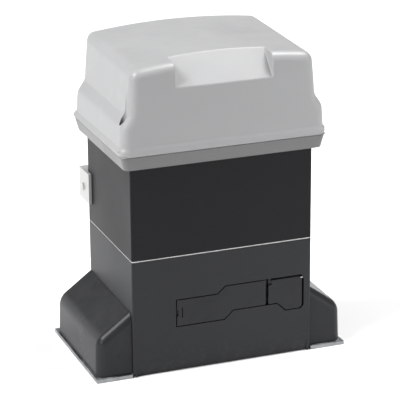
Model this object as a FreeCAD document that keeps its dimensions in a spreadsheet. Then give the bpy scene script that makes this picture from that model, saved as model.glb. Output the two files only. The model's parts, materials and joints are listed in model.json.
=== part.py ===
import FreeCAD, Part
import math
import os

import Sketcher

# Sliding gate motor on its foundation plate, in millimetres.
# X runs along the gate, -Y is the front with the release lever, +Y faces the gate and its rack, Z is up.
# The origin is on the plate's underside, below the middle of the gear case.

Vector = FreeCAD.Vector
Rotation = FreeCAD.Rotation
Placement = FreeCAD.Placement
DOC = FreeCAD.newDocument("SlidingGateMotor")

SIZES = {
    "Foundation plate": (
        ("plate_width", 275.0, "width of the plate along the gate"),
        ("plate_front_in", 0.3, "plate's front edge behind the case's front face"),
        ("plate_back_out", 7.7, "plate's rear edge behind the case's rear face"),
        ("plate_thick", 4.0, "thickness"),
        ("plate_relief", 5.0, "depth of the cut-out in front of the case"),
        ("anchor_x", 70.0, "anchor holes, from the middle along X"),
        ("anchor_y", 45.0, "anchor holes, from the middle along Y"),
        ("anchor_hole", 5.5, "radius of an anchor hole"),
        ("foot_bolt_in", 21.5, "foot bolts in from the plate's end"),
        ("foot_bolt_y_in", 21.3, "foot bolts in from the case's front and rear"),
    ),
    "Gear case": (
        ("case_width", 196.6, "width of the casings"),
        ("case_depth", 138.6, "depth of the casings, front to back"),
        ("case_height", 122.0, "gear case above the plate"),
        ("case_corner", 2.0, "radius of the vertical corners"),
        ("case_wall", 5.0, "wall of the casting"),
        ("skirt_gap", 0.8, "gap under the front skirt"),
        ("skirt_thick", 4.5, "front skirt, front to back"),
        ("scoop_high", 13.0, "top of the scoop along the front bottom edge"),
        ("scoop_deep", 2.6, "depth of the scoop at the bottom"),
        ("scoop_in", 4.0, "ends of the scoop in from the case's sides"),
        ("dry_top", 24.0, "roof of the dry hollow over the plate"),
        ("sump_floor", 28.0, "floor of the gear chamber"),
        ("sump_left_in", 39.0, "left wall of the gear chamber, in from the case's side"),
        ("sump_right_in", 27.0, "right wall of the gear chamber, in from the case's side"),
        ("sump_front_in", 23.3, "front wall of the gear chamber, in from the case's face"),
        ("sump_back_in", 11.3, "rear wall of the gear chamber, in from the case's face"),
        ("bay_wide", 25.0, "cable bay along X"),
        ("bay_half", 40.0, "half length of the cable bay along Y"),
        ("pocket_wide", 17.0, "dry pocket on the right along X"),
        ("foot_room", 3.4, "gap between a foot's end and its cover"),
        ("foot_thick", 8.0, "thickness of a foot"),
        ("foot_front_in", 11.3, "front end of a foot behind the case's front face"),
        ("foot_back_in", 3.3, "rear end of a foot in front of the case's rear face"),
    ),
    "Release recess in the front wall": (
        ("recess_deep", 14.3, "depth behind the front face"),
        ("recess_left", 51.5, "left edge, left of the middle"),
        ("recess_right", 90.6, "right edge"),
        ("recess_low", 49.2, "bottom edge at both ends"),
        ("recess_high", 87.3, "top edge at the right"),
        ("recess_left_high", 79.6, "top edge at the left"),
        ("recess_mid_low", 58.1, "bottom edge in the middle"),
        ("rise_start", 6.2, "where the top edge starts to rise, left of the middle"),
        ("rise_end", 2.7, "where the top edge has risen"),
        ("dip_start", 2.1, "where the bottom edge leaves the left end's height"),
        ("dip_end", 11.5, "where the bottom edge reaches the middle's height"),
        ("drop_start", 60.4, "where the bottom edge leaves the middle's height"),
        ("drop_end", 69.6, "where the bottom edge reaches the right end's height"),
        ("recess_corner", 3.4, "chamfer of the recess at the right"),
    ),
    "Release lever": (
        ("rim_gap", 1.1, "gap round the lever and the cap, as it shows"),
        ("lever_gap", 0.5, "gap between the parts behind them"),
        ("lever_thick", 3.5, "thickness of the lever's face"),
        ("lever_rim", 9.0, "depth of the ribs behind the face"),
        ("rib_thick", 2.0, "thickness of a rib"),
        ("hinge_x", 45.0, "lever hinge along X"),
        ("knuckle_radius", 5.3, "lever knuckle"),
        ("lever_pin_radius", 2.0, "lever pin"),
        ("pin_seat", 4.0, "how far a hinge pin enters its seat"),
        ("slit_x", 44.6, "slit in the lever, left of the middle"),
        ("slit_wide", 1.0, "width of the slit"),
        ("slit_low", 58.8, "lower end of the slit"),
        ("slit_high", 69.6, "upper end of the slit"),
        ("finger_wide", 1.6, "depth of the finger notch in the left edge"),
        ("finger_low", 61.0, "lower end of the finger notch"),
        ("finger_high", 68.0, "upper end of the finger notch"),
        ("boss_radius", 5.0, "boss that holds the release rod in"),
        ("boss_gap", 0.3, "gap between that boss and the rod"),
        ("catch_reach", 8.0, "reach of the lever's catch past its hinge"),
        ("catch_deep", 2.2, "rear face of the catch behind the hinge's axis"),
    ),
    "Lock and its cap": (
        ("cap_thick", 3.0, "thickness of the cap"),
        ("cap_gap", 2.2, "wider gap at the cap's top and right"),
        ("cap_pin_y", 2.8, "cap pin behind the front face"),
        ("cap_pin_drop", 4.1, "cap pin below the recess's top"),
        ("cap_pin_radius", 1.2, "cap pin"),
        ("cap_knuckle", 2.7, "radius of the cap's knuckle"),
        ("lug_wide", 2.6, "lug that carries the left end of the cap pin"),
        ("lock_x", 64.0, "lock along X"),
        ("lock_z", 64.2, "height of the lock"),
        ("lock_body_radius", 6.3, "lock body"),
        ("barrel_radius", 4.5, "lock barrel"),
        ("lock_front", 3.4, "front of the barrel, behind the case's front face"),
        ("tab_thick", 2.0, "thickness of the locking tab"),
        ("tab_half", 2.4, "half width of the locking tab"),
        ("tab_play", 0.5, "gap between the tab and the lever's catch"),
        ("key_slot", 1.0, "half width of the key slot"),
        ("key_deep_in", 8.0, "depth of the key slot"),
        ("lock_gap", 0.3, "gap between the tab and the lock body"),
    ),
    "Worm gear": (
        ("gear_module", 2.5, "module of worm and wheel"),
        ("wheel_teeth", 30, "teeth of the wheel"),
        ("worm_radius", 12.5, "pitch radius of the worm"),
        ("worm_turns", 4, "turns of the thread"),
        ("tooth_rise", 2.5, "tooth above the pitch line"),
        ("tooth_root", 3.1, "tooth below the pitch line"),
        ("worm_tooth", 3.5, "thread's thickness at the pitch line"),
        ("worm_flank", 0.364, "slope of the thread's flank"),
        ("wheel_gap", 4.18, "tooth gap of the wheel at the pitch line"),
        ("wheel_flank", 0.435, "slope of the gap's flank"),
        ("wheel_half", 7.0, "half width of the wheel"),
        ("motor_x", 23.0, "motor axis, left of the middle"),
        ("output_z", 73.0, "height of the output shaft"),
    ),
    "Output shaft": (
        ("shaft_radius", 12.5, "main diameter"),
        ("nose_radius", 10.0, "front journal"),
        ("seat_radius", 12.0, "pinion seat"),
        ("running", 0.03, "radial clearance of a running fit"),
        ("front_bearing_radius", 21.0, "outer radius of the front bearing"),
        ("front_bearing_wide", 12.0, "width of the front bearing"),
        ("rear_bearing_radius", 23.5, "outer radius of the rear bearing"),
        ("rear_bearing_wide", 12.0, "width of the rear bearing"),
        ("bearing_lip", 1.0, "lip in front of a bearing in its boss"),
        ("bearing_dip", 0.6, "depth of the dip in a bearing's faces"),
        ("boss_wall", 5.0, "wall of a bearing boss"),
        ("seal_radius", 20.0, "outer radius of the oil seal"),
        ("seal_wide", 7.0, "width of the oil seal"),
        ("seal_inset", 2.3, "seal behind the case's rear face"),
        ("rod_radius", 3.9, "release rod"),
        ("rod_bore", 3.95, "bore of the shaft for the rod"),
        ("rod_head", 6.0, "head of the release rod"),
        ("rod_head_thick", 3.0, "thickness of that head"),
        ("rod_travel", 5.0, "travel of the release rod"),
        ("cross_radius", 3.0, "cross pin"),
        ("cross_y", 14.0, "cross pin in front of the middle"),
        ("spring_wire", 0.7, "wire radius of the rod's spring"),
        ("spring_space", 12.0, "length of the rod's spring when pressed"),
        ("spring_turns", 5, "turns of the rod's spring"),
    ),
    "Clutch": (
        ("hub_radius", 20.0, "dog clutch hub"),
        ("hub_thick", 11.0, "thickness of the hub"),
        ("hub_gap", 1.0, "gap between hub and wheel"),
        ("dog_inner", 14.0, "inner end of a dog"),
        ("dog_outer", 18.5, "outer end of a dog"),
        ("dog_half", 3.0, "half width of a dog"),
        ("dog_high", 3.0, "how far a dog reaches into the wheel"),
        ("dog_play", 0.4, "play of a dog in its pocket"),
        ("disc_radius", 22.0, "disc spring"),
        ("disc_thick", 2.0, "disc spring, with its cone"),
        ("disc_gap", 0.1, "gap beside a disc spring"),
        ("nut_radius", 18.0, "clutch nut"),
        ("nut_thick", 8.0, "clutch nut"),
        ("nut_notch", 2.5, "half width of a spanner notch"),
    ),
    "Pinion": (
        ("pinion_module", 4.0, "module of the pinion and its rack"),
        ("pinion_teeth", 16, "teeth of the pinion"),
        ("pinion_rise", 4.0, "tooth above the pitch line"),
        ("pinion_root", 5.0, "tooth below the pitch line"),
        ("pinion_play", 0.2, "play between the pinion's tooth and the rack"),
        ("pinion_slope", 0.44, "slope of the pinion's tooth gap"),
        ("pinion_boss", 20.0, "radius of the pinion's boss"),
        ("pinion_gap", 1.7, "gap between the case's rear face and the pinion's boss"),
        ("pinion_boss_long", 8.0, "length of the boss"),
        ("pinion_wide", 27.0, "width of the teeth"),
        ("shaft_short", 1.0, "shaft's end inside the pinion's rear face"),
        ("key_half", 4.0, "half width of the key"),
        ("key_deep", 4.0, "key in the shaft"),
        ("key_proud", 3.0, "key in the pinion"),
        ("key_inset", 1.0, "key behind the pinion's front face"),
        ("key_long", 24.0, "length of the key"),
        ("washer_radius", 16.0, "washer on the shaft's end"),
        ("washer_thick", 2.0, "thickness of that washer"),
        ("end_bolt", 4.0, "radius of the bolt in the shaft's end"),
        ("end_bolt_head", 6.5, "radius of its head"),
        ("end_bolt_high", 4.5, "height of its head"),
        ("end_bolt_long", 18.0, "length of its shank in the shaft"),
    ),
    "Motor": (
        ("gasket_thick", 1.2, "case gasket"),
        ("gasket_set", 0.6, "gasket behind the casings' faces"),
        ("housing_height", 99.5, "height of the motor housing"),
        ("housing_wall", 4.0, "wall of the motor housing"),
        ("housing_floor", 4.8, "floor of the motor housing"),
        ("tube_radius", 54.8, "bore that holds the stator"),
        ("tube_wall", 4.2, "wall round that bore"),
        ("tube_drop", 18.2, "top of that tube below the housing's top"),
        ("press", 0.1, "radial clearance of a pressed seat"),
        ("plate_disc", 4.0, "thickness of the lower end plate"),
        ("spigot", 49.8, "radius of the end plate's spigot"),
        ("spigot_deep", 3.5, "depth of the spigot"),
        ("bearing_hub", 21.0, "hub round a motor bearing"),
        ("stack_rise", 18.0, "stator stack above the housing's floor"),
        ("stack_long", 48.0, "length of the stator stack"),
        ("stator_bore", 29.5, "bore of the stator"),
        ("air_gap", 0.5, "air gap"),
        ("winding_inner", 31.5, "inner radius of the end windings"),
        ("winding_outer", 50.0, "outer radius of the end windings"),
        ("winding_high", 10.0, "height of the end windings"),
        ("end_ring", 26.0, "rotor's end rings"),
        ("end_ring_high", 5.0, "height of an end ring"),
        ("journal", 6.0, "shaft in its bearings"),
        ("neck", 7.5, "shaft between worm and lower motor bearing"),
        ("rotor_seat", 8.0, "shaft in the rotor"),
        ("tail", 4.0, "shaft in the encoder disc"),
        ("tail_rise", 13.5, "top of the shaft above the tube"),
        ("worm_reach", 23.0, "worm's core below and above the output shaft"),
        ("small_bearing", 14.0, "outer radius of the bearing below the worm"),
        ("small_bearing_drop", 37.0, "lower face of that bearing, below the output shaft"),
        ("small_bearing_wide", 8.0, "its width"),
        ("motor_bearing", 16.0, "outer radius of the motor bearings"),
        ("motor_bearing_wide", 10.0, "their width"),
        ("lower_bearing_rise", 1.0, "lower motor bearing above the housing's floor"),
        ("upper_bearing_drop", 3.5, "upper motor bearing's lower face below the tube's top"),
        ("cap_disc", 4.0, "thickness of the upper end cap"),
        ("encoder_radius", 24.0, "encoder disc"),
        ("encoder_drop", 4.0, "encoder disc's lower face below the shaft's top"),
        ("encoder_thick", 1.5, "thickness of the encoder disc"),
        ("encoder_slots", 12, "slots in the encoder disc"),
        ("slot_start", 7.0, "inner end of a slot, in from the disc's rim"),
        ("slot_end", 2.0, "outer end of a slot, in from the disc's rim"),
        ("capacitor_radius", 19.0, "start capacitor"),
        ("capacitor_high", 68.0, "height of the start capacitor"),
        ("capacitor_x", 62.0, "start capacitor along X"),
        ("capacitor_y", 34.0, "start capacitor in front of the middle"),
        ("transformer_x", 42.0, "left face of the transformer"),
        ("transformer_wide", 46.0, "transformer along X"),
        ("transformer_front", 6.0, "transformer's front face in front of the middle"),
        ("transformer_deep", 48.0, "transformer along Y"),
        ("transformer_high", 56.0, "height of the transformer"),
        ("transformer_yoke", 10.0, "iron past the coil's ends"),
        ("transformer_lap", 6.0, "coil in from the iron's sides"),
        ("pin_spread", 8.0, "capacitor's pins, from its middle"),
        ("pin_high", 7.0, "height of a capacitor's pin"),
        ("pin_half", 3.0, "half width of a capacitor's pin"),
        ("pin_thick", 0.8, "thickness of a capacitor's pin"),
    ),
    "Fasteners": (
        ("bolt_radius", 3.0, "case bolt"),
        ("bolt_head", 5.0, "its head"),
        ("bolt_head_high", 6.0, "height of its head"),
        ("bolt_x_in", 11.0, "case bolts in from the case's sides"),
        ("bolt_y_in", 11.3, "case bolts in from the case's front and rear"),
        ("bolt_grip", 18.0, "case bolt in the gear case"),
        ("hole_play", 0.1, "play of a bolt in its hole"),
        ("foot_bolt", 4.0, "foot bolt"),
        ("foot_bolt_head", 7.0, "its head"),
        ("foot_bolt_high", 6.0, "height of its head"),
        ("socket", 2.5, "hexagon socket in a case bolt"),
        ("tray_screw", 2.0, "tray screw"),
        ("tray_screw_head", 3.8, "its head"),
        ("tray_screw_high", 2.6, "height of its head"),
        ("tray_screw_long", 14.0, "its shank"),
        ("tray_screw_x", 60.0, "tray screws along X"),
        ("tray_screw_in", 9.8, "tray screws in from the case's front and rear"),
        ("post_radius", 6.0, "screw post in the motor housing"),
        ("post_high", 20.0, "height of that post"),
        ("plug_x", 35.0, "oil plug, left of the middle"),
        ("plug_z", 100.0, "height of the oil plug"),
        ("plug_radius", 8.0, "thread of the oil plug"),
        ("plug_head", 10.5, "head of the oil plug"),
        ("plug_head_high", 3.0, "height of that head"),
        ("plug_long", 9.0, "oil plug in the wall"),
    ),
    "Foot covers": (
        ("cover_gap", 0.4, "gap between cover and case"),
        ("cover_in", 1.9, "outer face at the bottom, in from the plate's end"),
        ("cover_lean", 1.0, "how far the outer face leans in at the ridge"),
        ("cover_ridge", 44.0, "height of the outer ridge"),
        ("cover_top", 70.0, "height at the case"),
        ("cover_front_in", 3.3, "front face behind the case's front face"),
        ("cover_back_out", 4.7, "rear face behind the case's rear face"),
        ("cover_round", 7.5, "radius of the outer edges"),
        ("cover_wall", 2.6, "wall"),
    ),
    "Limit switch": (
        ("limit_proud", 3.2, "flange in front of the housing's left face"),
        ("limit_right", 56.0, "right face, left of the middle"),
        ("limit_lap", 12.3, "how far the flange reaches forward along the housing's side"),
        ("limit_deep", 21.7, "rear face behind the housing's rear face"),
        ("limit_rise", 20.3, "underside above the housing's underside"),
        ("limit_tall", 33.3, "height of the box"),
        ("limit_wall", 2.2, "wall"),
        ("limit_gap", 0.2, "gap between the box and the housing"),
        ("limit_solid", 6.0, "solid left end of the box"),
        ("limit_round", 2.0, "radius of the edges"),
        ("limit_screw_back", 5.7, "screw behind the housing's rear face"),
        ("limit_screw_rise", 15.0, "screw above the box's underside"),
        ("limit_screw_radius", 1.8, "screw"),
        ("limit_screw_head", 3.6, "its head"),
        ("limit_screw_high", 2.0, "height of its head"),
        ("limit_screw_long", 9.0, "its length"),
    ),
    "Tray": (
        ("tray_low_side", 7.8, "bottom past the housing's sides"),
        ("tray_low_end", 7.9, "bottom past the housing's front and rear"),
        ("tray_high_side", 11.2, "top past the housing's sides"),
        ("tray_high_end", 9.3, "top past the housing's front and rear"),
        ("tray_height", 13.3, "height of the tray"),
        ("tray_floor", 3.2, "floor"),
        ("tray_wall", 3.0, "wall"),
        ("seal_high", 0.6, "hood gasket"),
        ("seal_set", 1.2, "gasket behind the rim"),
        ("seal_band", 2.6, "width of the gasket"),
        ("grommet_in", 9.5, "cable grommet in from the housing's left side"),
        ("grommet_radius", 4.6, "neck of the grommet"),
        ("grommet_flange", 6.6, "flange of the grommet"),
        ("grommet_high", 2.2, "flange above the tray's floor"),
        ("grommet_bore", 3.2, "bore of the grommet"),
    ),
    "Hood": (
        ("bead_side", 11.6, "bead past the housing's sides"),
        ("bead_end", 9.1, "bead past the housing's front and rear"),
        ("bead_high", 9.0, "height of the bead"),
        ("hood_low_side", 9.8, "hood above the bead, past the housing's sides"),
        ("hood_shoulder_side", 8.8, "hood below the shoulder, past the housing's sides"),
        ("shoulder_rise", 29.4, "lower edge of the shoulder above the hood's rim"),
        ("shoulder_tall", 12.0, "height of the shoulder's slope"),
        ("dome_low_side", 1.2, "hood above the shoulder, past the housing's sides"),
        ("dome_high_in", 3.0, "dome's top edge in from the housing's sides"),
        ("crown_sag", 6.5, "dome's side edge below the crown"),
        ("hood_height", 95.4, "height of the hood"),
        ("hood_low_end", 6.7, "hood above the bead, past the housing's front and rear"),
        ("hood_high_end", 2.8, "hood at the crown, past the housing's front and rear"),
        ("hood_round", 6.0, "radius of the upright edges"),
        ("crown_round", 5.4, "radius round the crown"),
        ("bead_round", 7.0, "radius of the bead's corners"),
        ("hood_wall", 3.0, "wall"),
        ("badge_long", 103.6, "length of the badge notch"),
        ("badge_drop", 30.0, "front edge of the notch's floor, below the crown"),
        ("badge_front_end", 4.5, "where that edge lies, past the housing's front"),
        ("badge_back_in", 19.8, "where the notch's floor meets the crown, in from the housing's front"),
        ("hood_screw_side", 3.3, "hood screws past the housing's sides"),
        ("hood_screw_in", 4.3, "hood screws in from the housing's front"),
        ("screw_pocket", 4.5, "pocket over a hood screw"),
        ("screw_tower", 7.0, "tower round that pocket"),
        ("screw_seat_rise", 11.4, "seat of the screw's head above the hood's rim"),
        ("hood_screw", 2.4, "hood screw"),
        ("hood_screw_head", 4.0, "its head"),
        ("hood_screw_high", 3.5, "height of its head"),
        ("hood_screw_drop", 8.5, "lower end of its shank below the tray's rim"),
        ("tower_play", 0.6, "gap between the hood's tower and the tray's post"),
    ),
    "Control board": (
        ("board_side", 11.0, "board in from the housing's sides"),
        ("board_end", 11.3, "board in from the housing's front and rear"),
        ("board_rise", 18.1, "underside above the tray's floor"),
        ("board_thick", 1.6, "thickness"),
        ("pillar_x", 78.0, "pillars along X"),
        ("pillar_y", 50.0, "pillars along Y"),
        ("pillar_radius", 4.0, "pillar"),
        ("terminal_high", 14.0, "height of the terminal blocks"),
        ("terminal_deep", 12.0, "terminal blocks along Y"),
        ("terminal_pitch", 8.0, "one terminal"),
        ("terminal_count", 14, "terminals"),
        ("terminal_y", 50.0, "terminal blocks in front of the middle"),
        ("terminal_sill", 2.0, "sill below a terminal's mouth"),
        ("terminal_mouth", 5.0, "height of a terminal's mouth"),
        ("terminal_screw_deep", 4.0, "depth of a terminal's screw hole"),
        ("relay_wide", 19.0, "relay along X"),
        ("relay_deep", 15.5, "relay along Y"),
        ("relay_high", 20.0, "height of a relay"),
        ("relay_pitch", 24.0, "from relay to relay"),
        ("relay_y", 38.0, "relays behind the middle"),
        ("relay_count", 3, "relays"),
        ("chip_long", 30.0, "processor along X"),
        ("chip_deep", 12.0, "processor along Y"),
        ("chip_high", 4.0, "height of the processor"),
        ("button_pitch", 14.0, "from button to button"),
        ("button_x", 24.0, "first button along X"),
        ("button_y", 22.0, "buttons in front of the middle"),
        ("button_base", 6.0, "width of a button's base"),
        ("button_base_high", 3.5, "height of a button's base"),
        ("button_radius", 1.75, "button"),
        ("button_high", 3.0, "button above its base"),
        ("button_travel", 0.5, "travel of a button"),
        ("button_play", 0.1, "play of a button in its base"),
    ),
}


class Size:
    """A number together with the expression that keeps it tied to the sheet."""

    def __init__(self, number, text):
        self.number = float(number)
        self.text = text

    @staticmethod
    def of(value):
        return value if isinstance(value, Size) else Size(value, repr(float(value)))

    def __add__(self, other):
        other = Size.of(other)
        return Size(self.number + other.number, f"({self.text} + {other.text})")

    def __sub__(self, other):
        other = Size.of(other)
        return Size(self.number - other.number, f"({self.text} - {other.text})")

    def __mul__(self, other):
        other = Size.of(other)
        return Size(self.number * other.number, f"({self.text} * {other.text})")

    def __truediv__(self, other):
        other = Size.of(other)
        return Size(self.number / other.number, f"({self.text} / {other.text})")

    def __neg__(self):
        return Size(-self.number, f"(-{self.text})")

    __radd__ = __add__
    __rmul__ = __mul__

    def __rsub__(self, other):
        return Size.of(other) - self


class Sheet:
    """The sizes by name, as attributes."""


def write_sheet():
    """Writes each size to a cell with its name beside it and hands back the named sizes."""
    sheet = DOC.addObject("Spreadsheet::Sheet", "Sizes")
    sizes = Sheet()
    row = 1
    for group, entries in SIZES.items():
        sheet.set(f"A{row}", group)
        row += 1
        for name, value, meaning in entries:
            sheet.set(f"A{row}", name)
            sheet.set(f"B{row}", str(value))
            sheet.set(f"C{row}", meaning)
            sheet.setAlias(f"B{row}", name)
            setattr(sizes, name, Size(value, "Sizes." + name))
            row += 1
    DOC.recompute()
    return sizes


s = write_sheet()
NODES = []

# Sizes along X that follow the plate and the casings

s.plate_half_wide = s.plate_width / 2
s.foot_bolt_x = s.plate_half_wide - s.foot_bolt_in
s.cover_out = s.plate_half_wide - s.cover_in
s.cover_out_high = s.cover_out - s.cover_lean
s.foot_end = s.cover_out - s.cover_wall - s.foot_room
s.case_half_wide = s.case_width / 2
s.scoop_half = s.case_half_wide - s.scoop_in
s.sump_left = s.case_half_wide - s.sump_left_in
s.sump_right = s.case_half_wide - s.sump_right_in
s.bay_left = s.case_half_wide - s.case_wall - 1
s.bay_right = s.bay_left - s.bay_wide
s.pocket_left = s.case_half_wide - s.case_wall - s.pocket_wide
s.bolt_x = s.case_half_wide - s.bolt_x_in
s.tray_low_x = s.case_half_wide + s.tray_low_side
s.tray_high_x = s.case_half_wide + s.tray_high_side
s.grommet_x = s.case_half_wide - s.grommet_in
s.bead_x = s.case_half_wide + s.bead_side
s.hood_low_x = s.case_half_wide + s.hood_low_side
s.hood_shoulder_x = s.case_half_wide + s.hood_shoulder_side
s.dome_low_x = s.case_half_wide + s.dome_low_side
s.dome_high_x = s.case_half_wide - s.dome_high_in
s.badge_half = s.badge_long / 2
s.hood_screw_x = s.case_half_wide + s.hood_screw_side
s.board_half_wide = s.case_half_wide - s.board_side

# Sizes along Y that follow the casings

s.case_half_deep = s.case_depth / 2
s.plate_front = s.case_half_deep - s.plate_front_in
s.plate_back = s.case_half_deep + s.plate_back_out
s.foot_bolt_y = s.case_half_deep - s.foot_bolt_y_in
s.foot_front = s.case_half_deep - s.foot_front_in
s.foot_back = s.case_half_deep - s.foot_back_in
s.sump_front = s.case_half_deep - s.sump_front_in
s.sump_back = s.case_half_deep - s.sump_back_in
s.pinion_start = s.case_half_deep + s.pinion_gap
s.bolt_y = s.case_half_deep - s.bolt_y_in
s.tray_screw_y = s.case_half_deep - s.tray_screw_in
s.cover_front = s.case_half_deep - s.cover_front_in
s.cover_back = s.case_half_deep + s.cover_back_out
s.limit_front = s.case_half_deep - s.limit_lap
s.limit_back = s.case_half_deep + s.limit_deep
s.limit_screw_y = s.case_half_deep + s.limit_screw_back
s.tray_low_y = s.case_half_deep + s.tray_low_end
s.tray_high_y = s.case_half_deep + s.tray_high_end
s.bead_y = s.case_half_deep + s.bead_end
s.hood_low_y = s.case_half_deep + s.hood_low_end
s.hood_high_y = s.case_half_deep + s.hood_high_end
s.badge_low_y = s.case_half_deep + s.badge_front_end
s.badge_high_y = s.case_half_deep - s.badge_back_in
s.hood_screw_y = s.case_half_deep - s.hood_screw_in
s.board_half_deep = s.case_half_deep - s.board_end

# Heights, each above what carries it

s.case_top = s.plate_thick + s.case_height
s.worm_low = s.output_z - s.worm_reach
s.worm_high = s.output_z + s.worm_reach
s.small_bearing_low = s.output_z - s.small_bearing_drop
housing_low = s.case_top + s.gasket_thick
floor_top = housing_low + s.housing_floor
s.housing_top = housing_low + s.housing_height
s.tube_top = s.housing_top - s.tube_drop
s.lower_bearing_low = floor_top + s.lower_bearing_rise
s.upper_bearing_low = s.tube_top - s.upper_bearing_drop
s.stack_low = floor_top + s.stack_rise
s.stack_high = s.stack_low + s.stack_long
s.tail_top = s.tube_top + s.tail_rise
s.encoder_low = s.tail_top - s.encoder_drop
s.limit_low = housing_low + s.limit_rise
s.limit_high = s.limit_low + s.limit_tall
s.limit_screw_z = s.limit_low + s.limit_screw_rise
s.tray_top = s.housing_top + s.tray_height
tray_floor_top = s.housing_top + s.tray_floor
seal_top = s.tray_top + s.seal_high
s.shoulder_low = seal_top + s.shoulder_rise
s.shoulder_high = s.shoulder_low + s.shoulder_tall
s.crown = seal_top + s.hood_height
s.dome_edge = s.crown - s.crown_sag
s.badge_low = s.crown - s.badge_drop
s.screw_seat = seal_top + s.screw_seat_rise
s.hood_screw_low = s.tray_top - s.hood_screw_drop
s.board_low = tray_floor_top + s.board_rise

# Helpers for expression-bound solids


def bind(thing, path, value):
    """Ties one property of an object to the sheet."""
    thing.setExpression(path, Size.of(value).text)


def pair(middle, half):
    """The two ends of a stretch about a middle."""
    return (Size.of(middle) - half, Size.of(middle) + half)


def run(start, length):
    """The two ends of a stretch that starts at a place."""
    return (Size.of(start), Size.of(start) + length)


def place(thing, x=0.0, y=0.0, z=0.0):
    """Ties an object's position to the sheet."""
    for axis, value in (("x", x), ("y", y), ("z", z)):
        bind(thing, f"Placement.Base.{axis}", value)
    return thing


def block(name, x, y, z):
    """A block between two ends along each axis."""
    thing = DOC.addObject("Part::Box", name)
    for side, (low, high) in (("Length", x), ("Width", y), ("Height", z)):
        bind(thing, side, Size.of(high) - low)
    return place(thing, x[0], y[0], z[0])


ALONG = {
    "x": Rotation(Vector(0, 1, 0), 90),
    "y": Rotation(Vector(1, 0, 0), -90),
    "z": Rotation(),
}


def cylinder(name, radius, axis, ends, x=0.0, y=0.0, z=0.0):
    """A round bar along an axis between two ends; x, y and z give its other two places."""
    thing = DOC.addObject("Part::Cylinder", name)
    thing.Placement = Placement(Vector(), ALONG[axis])
    bind(thing, "Radius", radius)
    bind(thing, "Height", Size.of(ends[1]) - ends[0])
    centre = {"x": x, "y": y, "z": z}
    centre[axis] = ends[0]
    return place(thing, **centre)


def ring(name, outer, inner, axis, ends, **centre):
    """A tube along an axis between two ends."""
    solid = cylinder(name + "Outer", outer, axis, ends, **centre)
    longer = (Size.of(ends[0]) - 1, Size.of(ends[1]) + 1)
    return less(name, solid, cylinder(name + "Bore", inner, axis, longer, **centre))


def hexagon(name, radius, ends, x, y, axis="z", z=0.0):
    """A hexagonal bar, for heads and sockets."""
    thing = DOC.addObject("Part::Prism", name)
    thing.Polygon = 6
    thing.Placement = Placement(Vector(), ALONG[axis])
    bind(thing, "Circumradius", radius)
    bind(thing, "Height", Size.of(ends[1]) - ends[0])
    centre = {"x": x, "y": y, "z": z}
    centre[axis] = ends[0]
    return place(thing, **centre)


def joined(name, *things):
    """One solid made of several that meet."""
    thing = DOC.addObject("Part::MultiFuse", name)
    thing.Shapes = list(things)
    return thing


def less(name, solid, *tools):
    """A solid with the tools cut out of it."""
    thing = DOC.addObject("Part::Cut", name)
    thing.Base = solid
    thing.Tool = tools[0] if len(tools) == 1 else joined(name + "Tools", *tools)
    return thing


def common(name, solid, tool):
    """What two solids share."""
    thing = DOC.addObject("Part::Common", name)
    thing.Base = solid
    thing.Tool = tool
    return thing


def group(name, things):
    """Separate solids that share one node."""
    thing = DOC.addObject("Part::Compound", name)
    thing.Links = list(things)
    return thing


def node(name, thing):
    """Gives a finished sub-part its name."""
    thing.Label = name
    NODES.append(thing)
    return thing


PLANES = {"x": "YZ_Plane", "y": "XZ_Plane", "z": "XY_Plane"}


def origin_item(body, role):
    """One of a body's own origin planes or axes."""
    return [item for item in body.Origin.OriginFeatures if item.Role == role][0]


def new_sketch(body, axis, height):
    """An empty sketch square to an axis of the body at a height along that plane's normal."""
    sketch = body.newObject("Sketcher::SketchObject", body.Name + "Sketch")
    sketch.AttachmentSupport = (origin_item(body, PLANES[axis]), [""])
    sketch.MapMode = "FlatFace"
    bind(sketch, "AttachmentOffset.Base.z", height)
    return sketch


def outline(body, axis, height, points):
    """A closed sketch of straight sides with every corner tied to the sheet."""
    sketch = new_sketch(body, axis, height)
    corners = [(Size.of(across), Size.of(up)) for across, up in points]
    count = len(corners)
    for index, (across, up) in enumerate(corners):
        next_across, next_up = corners[(index + 1) % count]
        start = Vector(across.number, up.number, 0)
        end = Vector(next_across.number, next_up.number, 0)
        sketch.addGeometry(Part.LineSegment(start, end))
    for index in range(count):
        sketch.addConstraint(Sketcher.Constraint("Coincident", index, 2, (index + 1) % count, 1))
    for index, corner in enumerate(corners):
        for kind, value in zip(("DistanceX", "DistanceY"), corner):
            datum = sketch.addConstraint(Sketcher.Constraint(kind, -1, 1, index, 1, value.number))
            sketch.setExpression(f"Constraints[{datum}]", value.text)
    return sketch


def circle(body, axis, height, radius):
    """A sketch of one circle about the body's own axis."""
    sketch = new_sketch(body, axis, height)
    sketch.addGeometry(Part.Circle(Vector(), Vector(0, 0, 1), radius.number))
    sketch.addConstraint(Sketcher.Constraint("Coincident", 0, 3, -1, 1))
    datum = sketch.addConstraint(Sketcher.Constraint("Radius", 0, radius.number))
    sketch.setExpression(f"Constraints[{datum}]", radius.text)
    return sketch


def new_body(name):
    return DOC.addObject("PartDesign::Body", name)


def start_height(axis, ends):
    """Where a sketch lies so that a pad along its normal fills the stretch; XZ's normal is -Y."""
    return -Size.of(ends[1]) if axis == "y" else Size.of(ends[0])


def pad(body, sketch, length):
    feature = body.newObject("PartDesign::Pad", body.Name + "Pad")
    feature.Profile = sketch
    bind(feature, "Length", length)
    return feature


def prism(name, axis, ends, points):
    """A body with a straight-sided outline, padded along an axis between two ends."""
    body = new_body(name)
    sketch = outline(body, axis, start_height(axis, ends), points)
    pad(body, sketch, Size.of(ends[1]) - ends[0])
    return body


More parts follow.
